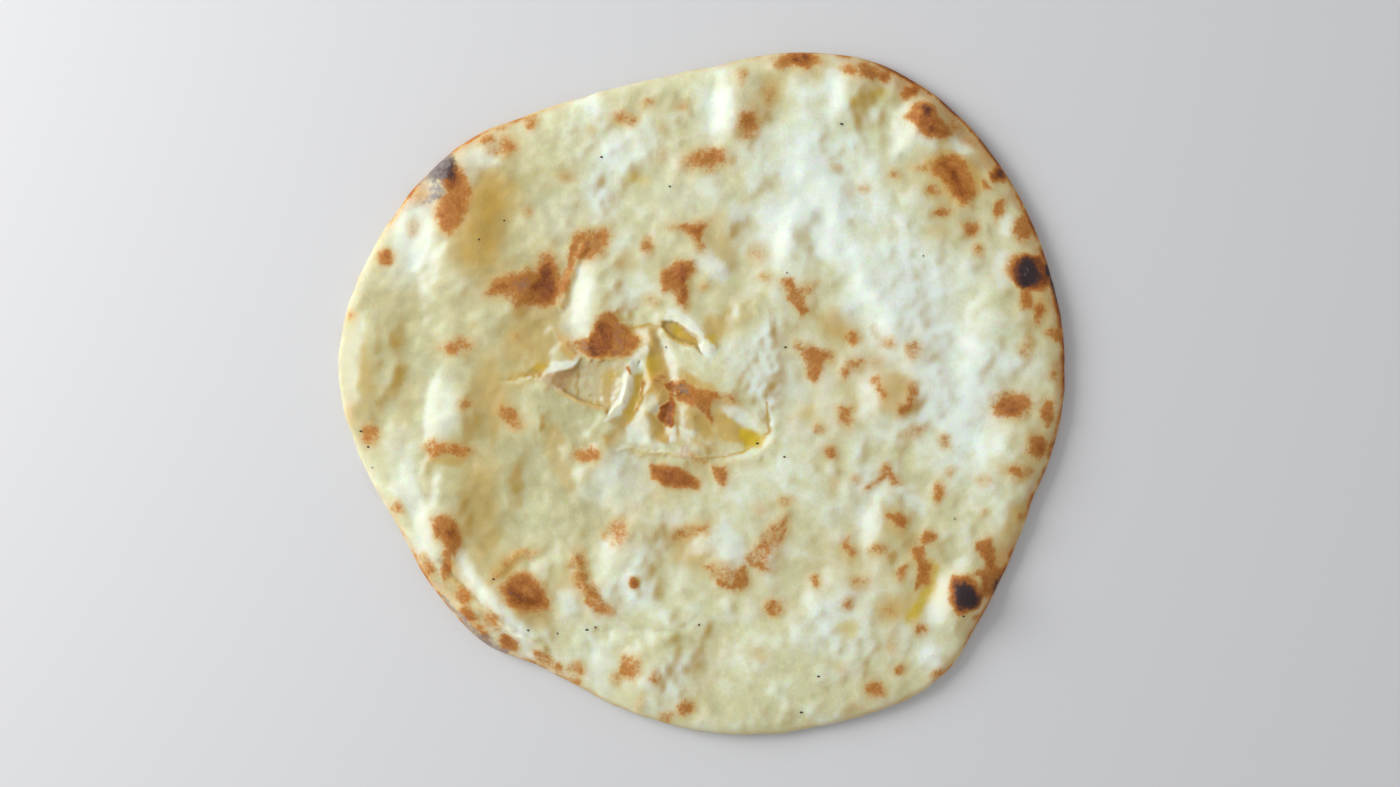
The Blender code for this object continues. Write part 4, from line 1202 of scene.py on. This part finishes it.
crust = {
    "cream": tone(219, 218, 180),
    "creamLight": tone(235, 244, 235),
    "creamDull": tone(198, 193, 150),
    # the pale colour is a painted highlight over pale dough; the gold colour is partly the dough's golden
    # tone and partly painted shade
    "pale": tone(234, 242, 232),
    "gold": tone(203, 164, 64),
    "butter": tone(216, 186, 20),
    "blush": tone(188, 144, 112),
    "inner": tone(208, 198, 160),
    "tan": tone(212, 176, 110),
    "orange": tone(194, 136, 66),
    "brown": tone(172, 104, 38),
    "dark": tone(132, 68, 24),
    "frost": tone(206, 166, 140),
    "char": tone(66, 52, 54),
    "ash": tone(156, 146, 143),
    "under": tone(206, 178, 120),
    "broad": (26.0, 3.0, 0.55),  # grains: size, detail, roughness
    "medium": (6.0, 4.0, 0.6),
    "fine": (1.6, 3.0, 0.6),
    "grain": (0.7, 2.0, 0.6),
    "frosting": (0.9, 2.0, 0.7),
    "freckles": (14.0, 4.0, 0.6),
    "mottleAndLumpShading": (0.5, 0.6, 0.4, 0.3),  # shares of broad, medium, painted lump light and shade, and fine in the dough
    "speckle": (0.25, 0.45, 0.7),  # shares of grain, fine and medium in the toasted edges
    "speckleSteps": (0.0, 0.4),  # how brown it is where speckles begin and are full
    "charSpeckle": (0.8, 0.6),  # shares of fine and medium
    "charSteps": (0.2, 0.9),
    "ashSpeckle": (1.1, 0.5),
    "ashSteps": (0.3, 0.95),
    "underSteps": (0.35, 0.7),
    "freckleSteps": (0.56, 0.7),
    "freckleHeat": 0.9,
    "frostSteps": (0.56, 0.74),
    "frostHeat": (0.5, 1.0),
    "zoneShare": 0.5,
    "doughCover": 0.85,  # how far the gold and the torn crumb hide the dough
    "tintCover": 0.8,  # the same for the other tints
    "toastCover": 0.97,
    "toastLevel": 0.86,
    "toastSpread": 1.8,
    "frostCover": 0.22,
    "roughness": 0.5,
    "roughSwing": 0.2,
    "butterShine": 0.2,
    "goldShine": 0.08,
    "toastDryness": 0.05,
    "specular": 0.16,
    "glow": 1.0,  # share of the light that travels inside the dough
    "glowRadius": (1.0, 0.6, 0.25),
    "glowDepth": 3.6,
    "grainBump": 0.5,
    "bumpDepth": 0.6,
    "bumpShares": (0.35, 0.65, 0.5),  # grain, fine, and fine on the toasted spots
}


def crustMaterial():
    recipe = Recipe("bakedCrust")
    place = recipe.place()
    toast = recipe.value("toast")
    char = recipe.value("char")
    ash = recipe.value("ash")
    butter = recipe.value("butter")
    under = recipe.value("underside")
    crest = recipe.value("crest")
    broad = recipe.noise(place, *crust["broad"])
    medium = recipe.noise(place, *crust["medium"])
    fine = recipe.noise(place, *crust["fine"])
    grain = recipe.noise(place, *crust["grain"])

    # the dough itself, mottled, with painted light and shade on the tops and dips of the lumps and in the
    # broad zones
    mottleAndLumpShading = swings((broad, medium, crest, fine), crust["mottleAndLumpShading"])
    doughStops = [(0.0, crust["creamDull"]), (0.5, crust["cream"]), (1.0, crust["creamLight"])]
    colour = recipe.ramp((recipe.value("zone") * crust["zoneShare"] + mottleAndLumpShading + 0.5).clamped(), doughStops)
    colour = recipe.mix(recipe.value("torn") * crust["doughCover"], colour, crust["inner"])
    # golden dough, partly painted shade
    goldAndShadeMask = broken(recipe.value("gold"), medium)
    colour = recipe.mix(goldAndShadeMask * crust["doughCover"], colour, crust["gold"])
    tint = crust["tintCover"]
    colour = recipe.mix(broken(recipe.value("blush"), fine) * tint, colour, crust["blush"])
    # pale dough and painted highlights
    colour = recipe.mix(broken(recipe.value("pale"), medium, 0.9, 0.5) * tint, colour, crust["pale"])
    colour = recipe.mix(broken(butter, fine) * tint, colour, crust["butter"])

    # the underside, freckled all over
    underTone = recipe.mix(recipe.steps(medium, *crust["underSteps"]), crust["under"], crust["creamLight"])
    colour = recipe.mix(under * tint, colour, underTone)
    freckles = recipe.steps(recipe.noise(place, *crust["freckles"]), *crust["freckleSteps"])
    underSpots = freckles * under * crust["freckleHeat"]

    # toasted spots with broken edges, frosted where they are darkest
    level = toast.atLeast(underSpots) * crust["toastLevel"]
    speckle = swings((grain, fine, medium), crust["speckle"])
    heat = (level + speckle * recipe.steps(level, *crust["speckleSteps"])).clamped()
    toastMask = (heat * crust["toastSpread"]).clamped()
    toastStops = [(0.0, crust["tan"]), (0.32, crust["tan"]), (0.56, crust["orange"]), (0.8, crust["brown"]),
                  (1.0, crust["dark"])]
    frosty = recipe.steps(recipe.noise(place, *crust["frosting"]), *crust["frostSteps"])
    frosty = frosty * recipe.steps(toast, *crust["frostHeat"])
    toastTone = recipe.mix(frosty * crust["frostCover"], recipe.ramp(heat, toastStops), crust["frost"])
    colour = recipe.mix(toastMask * crust["toastCover"], colour, toastTone)

    # char and the ash on it
    charEdge = swings((fine, medium), crust["charSpeckle"]) * (char * 3.0).clamped()
    colour = recipe.mix(recipe.steps(char + charEdge, *crust["charSteps"]), colour, crust["char"])
    ashEdge = swings((fine, medium), crust["ashSpeckle"])
    ashMask = recipe.steps(ash + ashEdge, *crust["ashSteps"])
    colour = recipe.mix(ashMask * tint, colour, crust["ash"])

    roughness = crust["roughness"] + (medium - 0.5) * crust["roughSwing"] - butter * crust["butterShine"]
    roughness = roughness - goldAndShadeMask * crust["goldShine"] + toastMask * crust["toastDryness"]
    grainShare, fineShare, toastShare = crust["bumpShares"]
    height = grain * grainShare + fine * fineShare + toastMask * fine * toastShare
    sockets = {"Strength": crust["grainBump"], "Distance": crust["bumpDepth"] * mm, "Height": height}
    recipe.feedShader({
        "Base Color": colour,
        "Roughness": roughness,
        "Normal": recipe.add("ShaderNodeBump", {}, sockets, "Normal"),
        "Specular IOR Level": crust["specular"],
        "Subsurface Weight": crust["glow"],
        "Subsurface Radius": crust["glowRadius"],
        "Subsurface Scale": crust["glowDepth"] * mm,
    })
    return recipe.material


specks = {
    "radius": 0.55,
    "rise": 0.1,
    "dropFrom": 0.1,  # metres above the table
    "stretch": 0.5,  # how much longer or shorter than round they are, in turn
    "stretchStep": 2.3,
    "width": 0.8,
    "height": 0.5,
    "dark": tone(38, 30, 28),
    "light": tone(78, 62, 48),
    "grain": (0.8, 3.0, 0.55),
    "roughness": 0.8,
    "places": [
        (-13, 85), (-41, 97), (35, 49.5), (34.5, 19), (34, -26), (-14.5, 19), (23, -20.5), (-81, 71),
        (-91, 63), (57.5, 110.5), (91, 56.5), (-137, -22), (-140, -15.5), (-135.5, -30.5), (-85, -76),
        (-71, -97), (-59, -98.5), (-47, -97), (-43.5, -96), (-1, -95), (41, -131), (104, -51.5),
        (107, -91), (48, -116),
    ],
}


def makeSpecks(loafMesh):
    # tiny burnt crumbs pressed into the skin
    bm = bmesh.new()
    faces = [tuple(face.vertices) for face in loafMesh.polygons]
    tree = BVHTree.FromPolygons([point.co for point in loafMesh.vertices], faces)
    for number, (x, y) in enumerate(specks["places"]):
        hit = tree.ray_cast(Vector((x * mm, y * mm, specks["dropFrom"])), Vector((0, 0, -1)))[0]
        made = bmesh.ops.create_icosphere(bm, subdivisions=1, radius=specks["radius"] * mm)["verts"]
        length = 1.0 + specks["stretch"] * math.sin(number * specks["stretchStep"])
        bmesh.ops.scale(bm, vec=(length, specks["width"], specks["height"]), verts=made)
        bmesh.ops.translate(bm, vec=hit + Vector((0, 0, specks["rise"] * mm)), verts=made)
    mesh = bpy.data.meshes.new("burntSpecks")
    bm.to_mesh(mesh)
    bm.free()
    mesh.shade_smooth()
    piece = bpy.data.objects.new("burntSpecks", mesh)
    bpy.context.scene.collection.objects.link(piece)
    return piece


def speckMaterial():
    recipe = Recipe("burntCrumb")
    grain = recipe.noise(recipe.place(), *specks["grain"])
    colour = recipe.mix(grain, specks["dark"], specks["light"])
    recipe.feedShader({"Base Color": colour, "Roughness": specks["roughness"]})
    return recipe.material


stage = {
    "floorSize": 6.0,  # metres
    "floorDrop": 0.05,  # how far the floor lies under the bread
    "floorTone": tone(214, 214, 215),
    "floorRoughness": 0.6,
    "frameWidth": 577.8,  # width of the floor that the picture takes in
    "lens": 50.0,
    "sensor": 36.0,
    "nearest": 0.01,  # metres
    "shiftX": -0.6,  # from the middle of the bread to the middle of the picture
    "windowPlace": (-1.25, 0.45, 0.85),  # metres
    "windowSize": (1.0, 1.0),
    "windowPower": 23.5,
    "fillTone": (0.97, 0.985, 1.0, 1.0),
    "fillStrength": 0.5,
}


def makeFloor():
    bm = bmesh.new()
    bmesh.ops.create_grid(bm, x_segments=1, y_segments=1, size=stage["floorSize"] / 2)
    bmesh.ops.translate(bm, vec=(0, 0, cadLow.z - stage["floorDrop"] * mm), verts=bm.verts)
    mesh = bpy.data.meshes.new("paleFloor")
    bm.to_mesh(mesh)
    bm.free()
    floor = bpy.data.objects.new("paleFloor", mesh)
    bpy.context.scene.collection.objects.link(floor)
    recipe = Recipe("paleFloor")
    recipe.feedShader({"Base Color": stage["floorTone"], "Roughness": stage["floorRoughness"]})
    mesh.materials.append(recipe.material)


def makeLights():
    light = bpy.data.lights.new("softWindow", "AREA")
    light.shape = "RECTANGLE"
    light.size, light.size_y = stage["windowSize"]
    light.energy = stage["windowPower"]
    lamp = bpy.data.objects.new("softWindow", light)
    lamp.location = stage["windowPlace"]
    lamp.rotation_euler = (-Vector(stage["windowPlace"])).to_track_quat("-Z", "Y").to_euler()
    bpy.context.scene.collection.objects.link(lamp)
    world = bpy.data.worlds.new("paleRoom")
    world.use_nodes = True
    world.node_tree.nodes["Background"].inputs["Color"].default_value = stage["fillTone"]
    world.node_tree.nodes["Background"].inputs["Strength"].default_value = stage["fillStrength"]
    bpy.context.scene.world = world


def makeCamera():
    data = bpy.data.cameras.new("overheadCamera")
    data.lens = stage["lens"]
    data.sensor_width = stage["sensor"]
    data.clip_start = stage["nearest"]
    camera = bpy.data.objects.new("overheadCamera", data)
    height = stage["frameWidth"] * mm * stage["lens"] / stage["sensor"]
    camera.location = (stage["shiftX"] * mm, 0.0, height + loaf["edgeHeight"] * mm)
    bpy.context.scene.collection.objects.link(camera)
    bpy.context.scene.camera = camera
    bpy.context.scene.view_settings.view_transform = "Standard"


makeFloor()
makeLights()
makeCamera()
print("stage ready")

naanLoaf = makeLoaf()
naanLoaf.data.materials.append(crustMaterial())
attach(naanLoaf, "root")
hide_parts("naan")
print("loaf ready", len(naanLoaf.data.vertices), "points")

burntSpecks = makeSpecks(naanLoaf.data)
burntSpecks.data.materials.append(speckMaterial())
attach(burntSpecks, "root")
print("specks ready")
